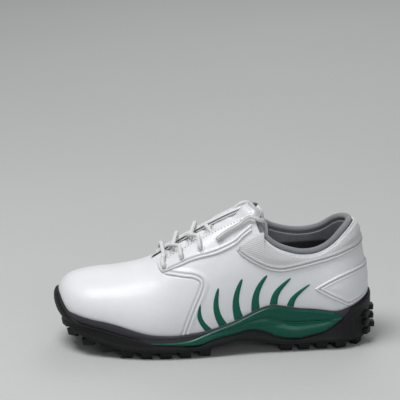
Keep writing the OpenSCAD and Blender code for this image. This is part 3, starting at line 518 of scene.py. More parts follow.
def piece(name, verts, faces, finish, node=(), body="shoe", uv=None, sharp=40, slot=None,
          painted_shade=None, sewn=None):
    """A closed mesh in millimetres, that stands for the CAD nodes; it rides on body unless sewn, when
    it is fixed where it stands.
    """
    me = bpy.data.meshes.new(name)
    me.from_pydata((np.asarray(verts) * MM).tolist(), [], faces)
    if uv is not None:
        layer = me.uv_layers.new(name="grid")
        idx = np.zeros(len(me.loops), int)
        me.loops.foreach_get("vertex_index", idx)
        layer.data.foreach_set("uv", np.asarray(uv, float)[idx].ravel())
    if painted_shade is not None:
        me.attributes.new("painted_shade", "FLOAT", "POINT").data.foreach_set("value", painted_shade)
    bm = bmesh.new()
    bm.from_mesh(me)
    bmesh.ops.remove_doubles(bm, verts=bm.verts, dist=2e-6)
    bmesh.ops.dissolve_degenerate(bm, edges=bm.edges, dist=1e-7)
    bmesh.ops.recalc_face_normals(bm, faces=bm.faces)
    bm.to_mesh(me)
    bm.free()
    me.polygons.foreach_set("use_smooth", [True] * len(me.polygons))
    me.set_sharp_from_angle(angle=math.radians(sharp))
    me.materials.append(M[finish].mat)
    ob = bpy.data.objects.new(name, me)
    bpy.context.scene.collection.objects.link(ob)
    if sewn:
        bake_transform(ob)
    else:
        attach(ob, body)
    if node:
        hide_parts(*([node] if isinstance(node, str) else node))
    return ob


def grid_faces(n, m, start=0):
    i, j = np.meshgrid(np.arange(n - 1), np.arange(m - 1), indexing="ij")
    i, j = i.ravel(), j.ravel()
    k = i + 1
    return (start + np.stack([i * m + j, i * m + j + 1, k * m + j + 1, k * m + j], 1)).tolist()


def ring_faces(rows, sides, start=0, closed=False):
    """Quads between rows of sides points that go round; closed joins the last row to the first."""
    i, j = np.meshgrid(np.arange(rows if closed else rows - 1), np.arange(sides), indexing="ij")
    i, j = i.ravel(), j.ravel()
    i2, j2 = (i + 1) % rows, (j + 1) % sides
    quads = [i * sides + j, i * sides + j2, i2 * sides + j2, i2 * sides + j]
    return (start + np.stack(quads, 1)).tolist()


def lengths(p, axis):
    """Distance along each row or column of a grid, from its start."""
    d = np.linalg.norm(np.diff(p, axis=axis), axis=-1)
    pad = [(0, 0), (0, 0)]
    pad[axis] = (1, 0)
    return np.pad(np.cumsum(d, axis=axis), pad)


def edge_distance(p, sides="lrbt"):
    """Distance of each point of a grid from its border: l, r along columns, b, t along rows."""
    a, b = lengths(p, 0), lengths(p, 1)
    found = {"l": a, "r": a[-1:] - a, "b": b, "t": b[:, -1:] - b}
    return np.min([found[s] for s in sides], axis=0)


def rims(n, m):
    """The runs of points along the four edges of an n by m grid: left, right, low, high."""
    return [np.arange(m), (n - 1) * m + np.arange(m), np.arange(n) * m,
            np.arange(n) * m + m - 1]


def wall(rim, k):
    """Faces between a rim and its twin, whose numbers are k higher."""
    return np.stack([rim[:-1], rim[1:], rim[1:] + k, rim[:-1] + k], 1).tolist()


def closed_sheets(pairs):
    """Vertices and faces of closed sheets, each between an outer and an inner grid."""
    verts, faces = [], []
    for outer, inner in pairs:
        start = sum(len(x) for x in verts)
        n, m = outer.shape[:2]
        k = n * m
        verts += [outer.reshape(-1, 3), inner.reshape(-1, 3)]
        faces += grid_faces(n, m, start) + grid_faces(n, m, start + k)
        for rim in rims(n, m):
            faces += wall(rim + start, k)
    return np.concatenate(verts), faces


def slab(name, outer, inner, finish, node=(), folded=False, painted_shade=None, both=False, **more):
    """Closed sheet between two grids. folded leaves out the top rim, whose halves meet."""
    n, m = outer.shape[:2]
    k = n * m
    faces = grid_faces(n, m) + grid_faces(n, m, k)
    for rim in rims(n, m)[:3 if folded else 4]:
        faces += wall(rim, k)
    along = np.broadcast_to(lengths(outer, 0).mean(1, keepdims=True), (n, m))
    uv = np.stack([along, lengths(outer, 1)], -1).reshape(-1, 2)
    if painted_shade is not None:
        painted_shade = np.clip(np.broadcast_to(painted_shade, (n, m)), 0, 1).ravel()
        painted_shade = np.concatenate([painted_shade, painted_shade if both else 0 * painted_shade])
    return piece(name, np.concatenate([outer.reshape(-1, 3), inner.reshape(-1, 3)]), faces,
                 finish, node, uv=np.concatenate([uv, uv]), painted_shade=painted_shade, **more)


def spread(n, fine):
    """n steps from 0 to 1, closer together at both ends; fine is the share of end crowding."""
    t = np.linspace(0, 1, n)
    return lerp(t, t - np.sin(2 * np.pi * t) / (2 * np.pi), fine)


def one_end(n, power):
    return np.linspace(0, 1, n) ** power


def nearest(points, line):
    """Distance of each point from a polyline's points."""
    flat = points.reshape(-1, 3)
    best = np.full(len(flat), 1e9)
    for i in range(0, len(line), 64):
        part = line[i:i + 64]
        best = np.minimum(best, np.linalg.norm(flat[:, None] - part[None], axis=2).min(1))
    return best.reshape(points.shape[:-1])


def rim_profile(d):
    """Height of a sewn edge, d inside it: a rolled rim, a groove and a second cord."""
    return smooth(-0.1, 1.0, d) - 1 + 0.45 * hump(d, 1.5, 0.8) \
        - 0.62 * hump(d, 3.1, 0.65) + 0.45 * hump(d, 4.7, 0.9)


def rim_painted_shade(d):
    """Painted shade on a sewn edge: in its groove and along its outside line."""
    return 0.8 * hump(d, 3.1, 0.5) + 0.9 * hump(d, 0.0, 0.45)


# ---------------------------------------------------------------- upper

def seam_line(side):
    v = np.linspace(0, THROAT_V, 260)
    return skin(q_of(side, seam_walk(v)), v)


def quarter(side, tag):
    t = np.linspace(0, 1, 96)[None]
    s = one_end(120, 1.7)[:, None]
    walk = lerp(seam_walk(t * THROAT_V) - 0.3, 0.15, s)
    q = q_of(side, walk)
    v = t * collar_v(q)
    d = nearest(skin(q, v), seam_line(side))
    lift = 0.55 * smooth(-0.1, 0.9, d) - 0.05 + 0.35 * hump(d, 1.5, 0.8) \
        - 0.55 * hump(d, 3.2, 0.75) + 0.4 * hump(d, 5.0, 1.0) - 0.5 * smooth(6.0, 9.0, d)
    # painted shade in the seam's groove and along its edge
    painted_shade = 0.8 * hump(d, 3.2, 0.5) + 0.9 * hump(d, 0.0, 0.5)
    sewn = v < SEWN_V
    return slab("quarter_skin_" + tag, skin(q, v, lift * sewn), skin(q, v, -LEATHER_T),
                "white_leather", "quarter_" + tag, painted_shade=painted_shade * sewn)


def vamp():
    t = np.concatenate([np.linspace(0, THROAT_V, 84), np.linspace(THROAT_V, 1, 22)[1:]])[None]
    throat_x = lerp(-49, THROAT_FRONT, np.sin(np.pi / 2 * (t - THROAT_V) / 0.16))
    first = np.where(t <= THROAT_V, seam_walk(t) - 0.2, X0_WALK - throat_x)
    s = one_end(64, 1.5)[:, None]
    side_walk = lerp(first, TOE_START, s)
    toe = np.linspace(TOE_START, HALF, 34)[1:, None] + 0 * t
    walk = np.concatenate([side_walk, toe])
    q = np.concatenate([2 * HALF - walk, walk[::-1][1:]])
    v = np.broadcast_to(t, q.shape)
    line = np.concatenate([seam_line(OUTER), seam_line(INNER)])
    d = nearest(skin(q, v), line)
    n = normal(q, v)
    n[:, -1] = n[:, -1] + n[::-1, -1]
    n[:, -1, 1] = 0
    n[:, -1] = unit(n[:, -1])
    base = bezier(rise(q), v)
    dip = -0.7 * (1 - smooth(0.0, 1.6, d)) * (v < THROAT_V)
    return slab("vamp_skin", base + dip[..., None] * n, base - LEATHER_T * n, "white_leather", "vamp",
                folded=True)


def overlay(name, q, v, o, d, finish, node):
    """A sewn overlay, o outside the skin; d is the distance from its sewn edges."""
    # painted shade in the grooves of the sewn edges
    return slab(name, skin(q, v, o), skin(q, v), finish, node, painted_shade=rim_painted_shade(d))


def eyestay(side, tag):
    s = one_end(150, 1.0)[:, None]
    t = spread(36, 0.6)[None]
    v = lerp(curve(FACING_LOW, lerp(-44, FACING_END, s)), THROAT_V - 0.004, t)
    x = lerp(curve(SEAM, v) + 0.4, FACING_END, s)
    q = q_at(side, x)
    d = edge_distance(skin(q, v), "lb")
    top = edge_distance(skin(q, v), "t")
    o = OVERLAY_OUT + rim_profile(d) - 0.9 * (1 - smooth(0, 1.4, top))
    return overlay("eyestay_skin_" + tag, q, v, o, d, "pearl_leather", "eyestay_" + tag)


def heel_grid(columns, rows, first, low, high):
    """Columns from walk first on the outer side, around the heel, to first on the inner side."""
    q = wrap(lerp(2 * HALF - first, 2 * HALF + first, spread(columns, 0.5)))
    a, b = low(q), high(q)
    t = spread(rows, 0.5)
    v = lerp(a[:, None], b[:, None], t[None])
    return np.broadcast_to(q[:, None], v.shape), v, np.broadcast_to(t[None], v.shape)


def collar_panel():
    def top(q):
        w = walk_of(q)
        return np.where(w > PANEL_TOP[0][0], v_at(q, curve(PANEL_TOP, w)), collar_v(q) - 0.012)

    q, v, _ = heel_grid(330, 40, PANEL_WALK,
                        lambda q: v_at(q, curve(PANEL_LOW, walk_of(q), 1, True)), top)
    d = edge_distance(skin(q, v), "lrb")
    up = edge_distance(skin(q, v), "t")
    o = OVERLAY_OUT + rim_profile(d) + 0.9 * smooth(5.5, 12, d) * smooth(0, 8, up) \
        - 0.9 * (1 - smooth(0, 1.6, up))
    return overlay("collar_panel_skin", q, v, o, d, "white_mesh", "collar_panel")


def heel_overlay():
    q, v, _ = heel_grid(240, 46, OVERLAY_WALK,
                        lambda q: v_at(q, curve(HEEL_LOW, walk_of(q), 1, True)),
                        lambda q: v_at(q, curve(HEEL_TOP, walk_of(q), 1, True)))
    d = edge_distance(skin(q, v), "bt")
    o = OVERLAY_OUT + rim_profile(d) + 0.5 * smooth(5, 14, d)
    return overlay("heel_overlay_skin", q, v, o, d, "pearl_leather", "heel_overlay")


def blade_grid(side, b):
    s = np.linspace(0, 1, 16)[:, None]
    t = np.linspace(0, 1, 60)[None]
    width = b[3] * (0.06 + 0.94 * np.sqrt(np.maximum(1 - t, 0)))
    x = lerp(b[0], b[1], t) - 4 * np.sin(np.pi * t) + (s - 0.5) * width
    q = q_at(side, x)
    root = sole_z(q, 1) + 0.4
    v = v_at(q, lerp(root, b[2], t) + (0.5 - s) * width * 0.4 * t)
    return q, v


def side_flash(side, tag):
    """Six tapering blades that stand on the plate."""
    pairs = []
    for b in BLADES:
        q, v = blade_grid(side, b)
        d = edge_distance(skin(q, v), "lrt")
        o = 0.2 + 0.55 * smooth(-0.1, 0.7, d) + 0.25 * smooth(0.5, 2.5, d)
        pairs.append((skin(q, v, o), skin(q, v, -0.1)))
    return piece("side_flash_skin_" + tag, *closed_sheets(pairs), "green_trim",
                 "side_flash_" + tag, slot="green_gloss")


def puff(q, t):
    """How far the collar's foam stands in, over the top 65% of the lining."""
    fade = np.clip((COLLAR_END + 3 - walk_of(q)) / 12, 0, 1)
    return PAD_T * np.maximum(np.maximum(t - 0.35, 0) / 0.65, 0) ** 0.7 * fade


def collar_lining():
    """The padded inside of the collar: lining and foam in one soft band."""
    q, v, t = heel_grid(260, 64, LINING_WALK, lambda q: 0 * q, lambda q: collar_v(q) - 0.008)
    swell = 0.9 * np.sin(np.pi * np.clip((t - 0.45) / 0.55, 0, 1)) ** 0.8 \
        * np.clip((COLLAR_END - walk_of(q)) / 30, 0, 1)
    inner = LINING_OUT - puff(q, t) - LINING_T - swell
    face = skin(q, v, inner)
    # the low part of the lining, deep inside the shoe, is painted near-black as shade
    dark = smooth(82.5, 79.5, face[..., 2] - 0.03 * face[..., 0])
    return slab("collar_lining_skin", skin(q, v, LINING_OUT + 0.9), face, "grey_fabric",
                ["collar_lining", "collar_padding"], painted_shade=dark, both=True)


# ---------------------------------------------------------------- cords

def tube(path, radius, sides, cap):
    """Vertices, faces and uv of a round cord along path, with domed ends."""
    path = np.asarray(path, float)
    n = len(path)
    along = unit(np.gradient(path, axis=0))
    a = unit(np.array([0.3, 0.2, 1.0]) - along[0] * (np.array([0.3, 0.2, 1.0]) @ along[0]))
    frames = []
    for i in range(n):
        a = unit(a - along[i] * (a @ along[i]))
        frames.append(a)
    frames = np.array(frames)
    other = np.cross(along, frames)
    r = np.broadcast_to(np.asarray(radius, float), (n,)).copy()
    far = lengths(path[:, None], 0)[:, 0]
    for k in range(cap):
        f = math.sin(math.pi / 2 * (k + 0.4) / cap)
        r[k] *= f
        r[n - 1 - k] *= f
    k = np.arange(sides) * 2 * np.pi / sides
    ring = (np.cos(k)[None, :, None] * frames[:, None] + np.sin(k)[None, :, None]
            * other[:, None]) * r[:, None, None] + path[:, None]
    verts = ring.reshape(-1, 3)
    uv = np.stack(np.broadcast_arrays(np.arange(sides)[None] * 2 * np.pi * r.max() / sides,
                                      far[:, None]), -1).reshape(-1, 2)
    ends = [list(range(sides)), list(range((n - 1) * sides, n * sides))]
    return verts, ring_faces(n, sides) + ends, uv


def spline(points, n):
    """Smooth line through points, n steps between two of them."""
    P = np.asarray(points, float)
    out = []
    for i in range(len(P) - 1):
        a, b, c, d = P[max(i - 1, 0)], P[i], P[i + 1], P[min(i + 2, len(P) - 1)]
        for k in range(n):
            t = k / n
            out.append(b + 0.5 * t * ((c - a) + t * ((2 * a - 5 * b + 4 * c - d)
                                                     + t * (3 * (b - c) + d - a))))
    out.append(P[-1])
    return np.array(out)


def collar_binding():
    first = COLLAR_END - 2
    q = wrap(lerp(2 * HALF - first, 2 * HALF + first, np.linspace(0, 1, 240)))
    v = collar_v(q)
    edge = skin(q, v)
    n = normal(q, v)
    up = unit(np.cross(n, -np.gradient(edge, axis=0)))
    up = up * np.where(up[:, 2:] < 0, -1, 1)
    inside = (LINING_OUT - puff(q, np.ones(q.shape)) - LINING_T) / 2
    path = edge + n * inside[:, None] + up * 2.4
    verts, faces, uv = tube(path, BINDING_R, 20, cap=4)
    return piece("collar_binding_skin", verts, faces, "silver_fabric", "collar_binding", uv=uv)


def tongue_mid(s):
    return stack(curve(TONGUE, s, 1), 0, curve(TONGUE, s, 2))


def tongue_point(s, u, h):
    """Point of the tongue: s along it, u across from 1 to -1, h above its middle sheet."""
    s, u, h = (a.astype(float) for a in np.broadcast_arrays(s, u, h))
    c = tongue_mid(s) + np.minimum(s, 0)[..., None] * np.array([100.0, 0.0, 34.0])
    near = np.maximum(s, 0)
    t = unit(tongue_mid(np.minimum(near + 0.02, 1)) - tongue_mid(np.maximum(near - 0.02, 0)))
    n = stack(-t[..., 2], 0, t[..., 0])
    corner = 1 - 0.3 * np.clip((s - 0.88) / 0.12, 0, 1) ** 3
    y = u * corner * curve(TONGUE, s, 3) + curve(SPINE, c[..., 0])
    return c + stack(0, y, 0) - CENTRE + (h - curve(TONGUE, s, 4) * u * u)[..., None] * n


def tongue_s(x):
    return np.interp(x, TONGUE[:, 1], TONGUE[:, 0])


OVER = OVERLAY_OUT + 0.9 + LACE_R
UNDER = LINING_IN - 0.5 - LACE_R


def on_skin(side, x, v, o):
    return skin(q_at(side, x), v, o)


def lip(side, x, o):
    return on_skin(side, x, THROAT_V, o)


def middle(x, lift):
    return tongue_point(tongue_s(x), 0, LACE_R + 1.1 + lift)


def through(side, k):
    """Down through eyelet k."""
    return [on_skin(side, EYELET_X[k], EYELET_V, o) for o in (OVER + 0.6, 0.0, UNDER)]


def crossing(side, k, lift):
    """One pass of the lace over the tongue, from eyelet k to eyelet k + 1 opposite."""
    x, x2 = EYELET_X[k], EYELET_X[k + 1]
    start = [on_skin(side, x + 4, 0.79, UNDER), lip(side, x + 6, UNDER),
             middle((x + x2) / 2 + 1, lift)]
    if k == len(EYELET_X) - 2:
        return start + [lip(-side, x2 - 6, UNDER), on_skin(-side, x2 - 4, 0.79, UNDER)] \
            + through(-side, k + 1)[::-1]
    return start + [lip(-side, x2 - 1, OVER), on_skin(-side, x2, 0.785, OVER + 0.8)] \
        + through(-side, k + 1)


def lace_end(side):
    return np.array([47.5, side * 15 - 2, 97]) - CENTRE


def half_lace(side):
    high = 3.9
    return ([lip(side, EYELET_X[0] + 1, OVER), on_skin(side, EYELET_X[0], 0.785, OVER + 0.4)]
            + through(side, 0)
            + crossing(side, 0, 0 if side == OUTER else high)
            + crossing(-side, 1, high if side == OUTER else 0)
            + crossing(side, 2, 0 if side == OUTER else high)
            + [on_skin(-side, 12, 0.75, OVER + 0.4), on_skin(-side, 22, 0.765, OVER + 0.4),
               on_skin(-side, 32, 0.79, OVER + 1.2),
               np.array([41, -side * 23.5 - 2, 118]) - CENTRE,
               np.array([46, -side * 16.5 - 2, 113]) - CENTRE, lace_end(-side)])


def lace():
    points = half_lace(OUTER)[::-1] + [middle(EYELET_X[0] + 1, 0)] + half_lace(INNER)
    path = spline(points, 10)
    verts, faces, uv = tube(path, LACE_R, 14, cap=2)
    piece("lace_cord", verts, faces, "white_cord", "lace", uv=uv)
    return path


def stitches(name, line, normals, pitch=3.0, length=2.1, width=0.75):
    """Short sewn threads along a line, each a small capsule sunk half into the surface."""
    far = lengths(line[:, None], 0)[:, 0]
    places = np.arange(pitch / 2, far[-1] - pitch / 2, pitch)
    verts, faces = [], []
    rings, sides = 7, 8
    for p in places:
        c = np.array([np.interp(p, far, line[:, k]) for k in range(3)])
        n = unit(np.array([np.interp(p, far, normals[:, k]) for k in range(3)]))
        e = np.array([np.interp(min(p + 0.5, far[-1]), far, line[:, k]) for k in range(3)]) - c
        a = unit(e - n * (e @ n))
        b = np.cross(n, a)
        start = len(verts)
        for i in range(rings):
            f = -1 + 2 * i / (rings - 1)
            r = width / 2 * math.sqrt(max(1 - f * f * 0.92, 0.0))
            for j in range(sides):
                w = 2 * math.pi * j / sides
                verts.append(c + a * f * length / 2 + b * r * math.cos(w)
                             + n * (0.1 + r * 0.8 * math.sin(w) - 0.25 * f * f))
        faces += ring_faces(rings, sides, start)
        for first in (start, start + (rings - 1) * sides):
            faces.append(list(range(first, first + sides)))
    return piece(name, np.array(verts), faces, "grey_thread", slot="white_cord")


def throat_stitches(side, tag):
    x = np.linspace(-40, 29, 160)
    q, v = q_at(side, x), np.full(x.shape, THROAT_V - 0.028)
    stitches("throat_stitches_" + tag, skin(q, v, OVERLAY_OUT), normal(q, v))


# ---------------------------------------------------------------- tongue

def tongue(lace_path):
    sewn = ((-0.0565, 0, 0.07), (-0.030, 0, 0.085))
    s = lerp(-0.1, 1, spread(100, 0.4))[:, None]
    u = lerp(1, -1, spread(80, 0.5))[None]
    base = tongue_point(s, u, 0)
    free = smooth(2.4, 7.0, nearest(base, lace_path)) * (1 - smooth(0.8, 1.0, np.abs(u)))
    free = free * (1 - smooth(0.72, 0.85, s)) * lerp(1.3, 1.0, smooth(0.05, 0.3, s))
    d = edge_distance(base, "lrbt")
    roll = 2.2 * (1 - np.sqrt(np.clip(1 - (1 - np.clip(d / 3.2, 0, 1)) ** 2, 0, 1)))
    swell = 2.8 * smooth(0.70, 0.95, s) * smooth(1, 9, d)
    ridges = -0.35 * hump(d, 5.0, 0.8)
    cover = tongue_point(s, u, swell + ridges - roll + 3.2 * free)
    under = tongue_point(s, u, -3.3 + 0 * d)
    # painted shade on the rolled top edge and in the sewn groove
    rim = smooth(3.6, 2.6, d) * smooth(0.68, 0.78, s) + 0.5 * hump(d, 5.0, 0.5)
    slab("tongue_cover_skin", cover, under, "white_leather", ["tongue_cover", "tongue_padding"],
         body="tongue", sewn=sewn, painted_shade=rim)
    narrow = u * lerp(0.78, 0.97, smooth(0.1, 0.5, s))
    back = tongue_point(s, narrow, -3.5 + 0 * d)
    lining = tongue_point(s, narrow, -5.4 + 1.4 * (1 - smooth(0, 3, d)) - 2.2 * smooth(2, 10, d)
                          * smooth(0.6, 0.9, s))
    slab("tongue_lining_skin", back, lining, "grey_fabric", "tongue_lining", body="tongue",
         sewn=sewn)
    a = np.linspace(0.8, 0.93, 14)[:, None]
    b = np.linspace(0.36, -0.36, 24)[None]
    tag = tongue_point(a, b, 0)
    e = edge_distance(tag, "lrbt")
    slab("tongue_label_skin", tongue_point(a, b, 0.95 + 0.35 * smooth(0, 0.6, e)),
         tongue_point(a, b, 0.2 + 0 * e), "grey_label", "tongue_label", body="tongue")


# ---------------------------------------------------------------- sole

def ring_columns(step):
    w = np.arange(0, HALF + step / 2, HALF / round(HALF / step))
    return np.concatenate([w, (2 * HALF - w)[::-1][1:-1]])


def ring_solid(name, rings, finish, node, sharp=40):
    """Closed solid from rings of points around the shoe; the two end rings are capped."""
    rings = np.array(rings)
    k, n = rings.shape[:2]
    half = n // 2
    faces = ring_faces(k, n)
    for base in (0, (k - 1) * n):
        for a in range(half):
            c, d = (n - a - 1) % n, (n - a) % n
            face = list(dict.fromkeys([base + a, base + a + 1, base + c, base + d]))
            if len(face) > 2:
                faces.append(face)
    uv = np.stack([lengths(rings, 1), lengths(rings, 0)], -1).reshape(-1, 2)
    return piece(name, rings.reshape(-1, 3), faces, finish, node, uv=uv, sharp=sharp)


def midsole():
    q = ring_columns(1.8)
    low, top = sole_z(q, 3) + 5.6, sole_z(q, 1)
    toe = smooth(268, 296, walk_of(q))
    rings = [side_point(q, low, WALL_OUT)]
    for t in np.linspace(0.08, 1, 14):
        o = WALL_OUT + 0.35 * hump(t, 0.82, 0.12) - 0.5 * smooth(0.93, 1.0, t)
        o = o - 1.9 * toe * smooth(0.4, 1.0, t)
        rings.append(side_point(q, lerp(low, top, t), o))
    rings.append(side_point(q, top + 0.1, lerp(WALL_OUT - 1.1, 0.25, toe)))
    for t in (1, 0.66, 0.33, 0):
        rings.append(side_point(q, lerp(bottom_z(q) - 0.4, np.maximum(top - 0.3,
                                bottom_z(q) - 0.3), t), lerp(0.6, 0.15, toe)))
    ring_solid("midsole_skin", rings, "grey_midsole", "midsole")


def outsole():
    q = ring_columns(1.3)
    w = walk_of(q)
    z0, top = sole_z(q, 3), sole_z(q, 2)
    toe = smooth(268, 296, w)
    heel = 1 - smooth(28, 46, w)
    rings = [side_point(q, z0 + 0.2, SHELL_OUT - 5), side_point(q, z0, SHELL_OUT - 3)]
    for t in np.concatenate([np.linspace(0, 0.85, 22), np.linspace(0.87, 1, 10)]):
        z = lerp(z0 + 0.8, top, t)
        shape = -2.2 * (1 - smooth(0, 0.16, t)) - 0.7 * smooth(0.94, 1.0, t)
        round_off = 1 - np.sqrt(1 - np.clip((t - 0.4) / 0.6, 0, 1) ** 2)
        shape = shape - (SHELL_OUT - 1.2) * toe * round_off
        # raised lip along the tread, and a second lip under the top edge
        shape = shape + 0.6 * hump(z - z0, 4.2, 1.6) * (1 - toe)
        shape = shape + 0.7 * heel * hump(t, 0.72, 0.08)
        # ribs: upright flutes on the heel, rows on the toe bumper
        rib = 0.38 * np.sin(w * 2 * np.pi / 5.2) * heel * hump(t, 0.4, 0.22)
        rib = rib + 0.22 * np.sin(z * 2 * np.pi / 2.2) * toe
        rings.append(side_point(q, z, SHELL_OUT + shape + rib))
    rings.append(side_point(q, top + 0.05, lerp(SHELL_OUT - 1.3, 0.35, toe)))
    inside = lerp(SHELL_IN, 0.2, toe)
    rings.append(side_point(q, top - 0.05, inside))
    for t in (0.6, 0.25, 0):
        rings.append(side_point(q, lerp(z0 + 3.8, top - 0.05, t), inside))
    ring_solid("outsole_shell", rings, "black_rubber", "outsole")


def arch_wing(side):
    walk = lerp(X0_WALK + 56, HEEL_WALK * 0.75, spread(220, 0.3))
    q = np.broadcast_to(q_of(side, walk)[:, None], (220, 56))
    x = X0_WALK - walk_of(q)
    t = np.broadcast_to(spread(56, 0.4)[None], q.shape)
    low, high = curve(WING, x, 1), curve(WING, x, 2)
    z = lerp(low, high, t)
    base = side_point(q, z, SHELL_OUT)
    d = edge_distance(base, "lrbt")
    # a flat flange above a crease, and a swollen belly below it
    mid = smooth(-20, 20, x) * (1 - smooth(90, 112, x))
    crease = lerp(0.60, 0.52, smooth(20, 80, x))
    belly = 2.3 * np.sin(np.pi * np.clip(t / crease, 0, 1)) ** 0.8 * (t < crease) \
        * np.exp(-((x - 72) / 34) ** 2)
    flange = -0.7 * hump(t, crease, 0.05) + 0.35 * hump(t, crease + 0.14, 0.08)
    o = SHELL_OUT + belly + mid * flange - 1.1 * (1 - smooth(0, 1.3, d))
    inner = side_point(q, z, SHELL_IN)
    return side_point(q, z, o), inner


def arch_plate():
    return piece("arch_plate_skin", *closed_sheets([arch_wing(OUTER), arch_wing(INNER)]),
                 "green_gloss", "arch_plate", sharp=60)


def block(bm, centre, angle, size, top, foot, taper=0.8, round_by=0.7):
    """One tread block: a tapered box with rounded edges."""
    l, w = size
    made = bmesh.ops.create_cube(bm, size=1.0)["verts"]
    ca, sa = math.cos(angle), math.sin(angle)
    for v in made:
        f = 1.0 if v.co.z > 0 else taper
        x, y = v.co.x * l * f, v.co.y * w * f
        z = top if v.co.z > 0 else foot
        v.co = (centre[0] + ca * x - sa * y, centre[1] + sa * x + ca * y, z)
    edges = list(dict.fromkeys(e for v in made for e in v.link_edges))
    bm.normal_update()
    bmesh.ops.bevel(bm, geom=edges, offset=round_by, segments=2, affect="EDGES", profile=0.6)


# a block reaches BLOCK_H below the sole and BLOCK_ROOT into it
BLOCK_H = 6.2
BLOCK_ROOT = 2
EDGE_WALKS = [0, 21, 42, 60, 76, 92, 165, 182, 199, 216, 233, 250, 267, 285, 303]
# x, y, length, width
BLOCKS = [[-112, 6, 8, 16], [-99, 4, 8, 18], [-62, 3, 8, 20], [-20, 0, 8, 18], [-62, 26, 9, 9],
          [-60, -26, 9, 9], [-18, -22, 9, 9], [-20, 22, 9, 9], [66, 0, 8, 18],
          [103, -19, 7, 6], [103, 19, 7, 6]]
CLEATS = [[-80, -19], [-84, 27], [-38, -24], [-42, 28], [90, -15], [90, 15], [116, 0]]


def edge_blocks(bm):
    """The row of blocks around the edge, turned to face outwards."""
    for side in (OUTER, INNER):
        for w in EDGE_WALKS:
            if w == 0 and side == INNER:
                continue
            q = q_of(side, float(w))
            p = spoke(q, bottom_r(q) - 1.5, 0)
            z = float(sole_z(q, 3))
            top = z + (0 if w > TOE_START else BLOCK_ROOT)
            turn = math.radians(side * float(facing(w)) + 90)
            block(bm, p, turn, (12, 8), top, max(z - BLOCK_H, 0))


def field_blocks(bm):
    """The blocks that stand inside the row."""
    for x, y, l, w in BLOCKS:
        z = float(curve(TREAD, x))
        block(bm, np.array([x, y, 0]) - CENTRE, 0, (l, w), z + BLOCK_ROOT, max(z - BLOCK_H, 0))


def heel_teeth(bm):
    """Three rows of three teeth up the back of the heel; the middle ones reach further."""
    for z in (12, 20, 28):
        for w in (-17, 0, 17):
            q = wrap(w)
            p = side_point(q, z, SHELL_OUT - 1.2)
            n = normal(q, np.array(0.0))
            reach = 6.4 if w == 0 else 5
            centre = p + n * (reach / 2 - 0.3)
            block(bm, centre, math.atan2(n[1], n[0]), (reach, 9), z + 2.4, z - 2.6, 0.94, 0.8)


def clear_cleats(bm):
    """Pushes the tread back from each cleat, to leave it room to turn."""
    for x, y in CLEATS:
        def offset(v):
            return v.co.x + CENTRE[0] - x, v.co.y + CENTRE[1] - y
        near = [e for e in bm.edges if all(math.hypot(*offset(v)) < CLEAT_NEAR_R for v in e.verts)]
        bmesh.ops.subdivide_edges(bm, edges=near, cuts=3, use_grid_fill=True)
        for v in bm.verts:
            a, b = offset(v)
            r = math.hypot(a, b)
            if 1e-6 < r < CLEAT_CLEAR_R:
                v.co.x += a / r * (CLEAT_CLEAR_R - r)
                v.co.y += b / r * (CLEAT_CLEAR_R - r)


def tread():
    bm = bmesh.new()
    edge_blocks(bm)
    field_blocks(bm)
    heel_teeth(bm)
    clear_cleats(bm)
    me = bpy.data.meshes.new("tread_blocks")
    bm.to_mesh(me)
    verts = np.array([v.co for v in me.vertices])
    faces = [list(f.vertices) for f in me.polygons]
    bm.free()
    return piece("tread_blocks", verts, faces, "black_rubber", sharp=35)


def cleat_bosses():
    """Round bosses that the cleats' receptacles stand in."""
    verts, faces = [], []
    profile = [(4.6, 3.9), (8.1, 3.9), (8.1, 0.1), (10.2, 0.1), (10.6, 0.5), (9.2, 4.0),
               (7.0, 4.4), (4.6, 4.4)]
    sides = 48
    for x, y in CLEATS:
        base = max(float(curve(TREAD, x)), 6.6) - 0.6
        start = len(verts)
        for r, z in profile:
            for k in range(sides):
                a = 2 * math.pi * k / sides
                verts.append([x + r * math.cos(a) - CENTRE[0], y + r * math.sin(a) - CENTRE[1],
                              base + z])
        faces += ring_faces(len(profile), sides, start, closed=True)
    return piece("cleat_bosses", np.array(verts), faces, "black_rubber")


# ---------------------------------------------------------------- build

for side in SIDES:
    quarter(*side)
vamp()
for side in SIDES:
    eyestay(*side)
collar_panel()
heel_overlay()
for side in SIDES:
    side_flash(*side)
collar_lining()
collar_binding()
tongue(lace())
midsole()
outsole()
arch_plate()
tread()
cleat_bosses()
for side in SIDES:
    throat_stitches(*side)

# ---------------------------------------------------------------- floor, light and camera

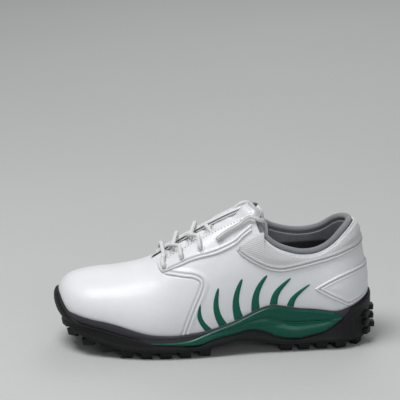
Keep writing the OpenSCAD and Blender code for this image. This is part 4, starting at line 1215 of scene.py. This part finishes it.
SHOE_MIDDLE = Vector((0, 0, 0.05))
CAMERA_AWAY = 2.0


def area(name, place, size, power):
    """A soft round light aimed at the shoe."""
    light = bpy.data.lights.new(name, "AREA")
    light.energy = power
    light.shape = "DISK"
    light.size = size
    ob = bpy.data.objects.new(name, light)
    ob.location = place
    ob.rotation_euler = (SHOE_MIDDLE - Vector(place)).to_track_quat("-Z", "Y").to_euler()
    bpy.context.scene.collection.objects.link(ob)


def floor():
    bpy.ops.mesh.primitive_plane_add(size=14, location=(0, 3, 0))
    ob = bpy.context.object
    ob.name = "floor"
    f = Finish("floor", (0.52, 0.53, 0.52), 0.75)
    f.relief(f.noise(160, 4), 0.0004)
    f.tint(f.math("MULTIPLY", f.noise(5, 4), 0.5), (0.47, 0.48, 0.47))
    ob.data.materials.append(f.mat)


def sky(strength):
    world = bpy.data.worlds.new("studio")
    world.use_nodes = True
    background = world.node_tree.nodes["Background"]
    background.inputs["Color"].default_value = (0.9, 0.93, 0.95, 1)
    background.inputs["Strength"].default_value = strength
    bpy.context.scene.world = world


def photo_camera():
    """A long lens from the outer side and a little above, aimed over the shoe as the photo is."""
    look = Vector((0.083, 0.9475, -0.309)).normalized()
    right = Vector((0.9962, -0.0872, 0))
    up = Vector((0.027, 0.308, 0.951))
    aim_point = Vector((0, 0, 0.06))
    camera = bpy.data.objects.new("camera", bpy.data.cameras.new("camera"))
    camera.data.lens = 202.2
    camera.data.sensor_width = 36
    camera.data.clip_end = 30
    camera.location = aim_point - CAMERA_AWAY * look
    aim = aim_point - 0.01357 * right + 0.0671 * up
    camera.rotation_euler = (aim - camera.location).to_track_quat("-Z", "Y").to_euler()
    bpy.context.scene.collection.objects.link(camera)
    bpy.context.scene.camera = camera


floor()
area("key_light", (-0.5, -0.35, 1.6), 0.9, 22)
area("fill_light", (0.5, -1.9, 0.7), 1.0, 6.5)
area("rim_light", (0.4, 1.6, 1.3), 1.2, 8)
sky(0.27)
photo_camera()
bpy.context.scene.view_settings.view_transform = "Standard"
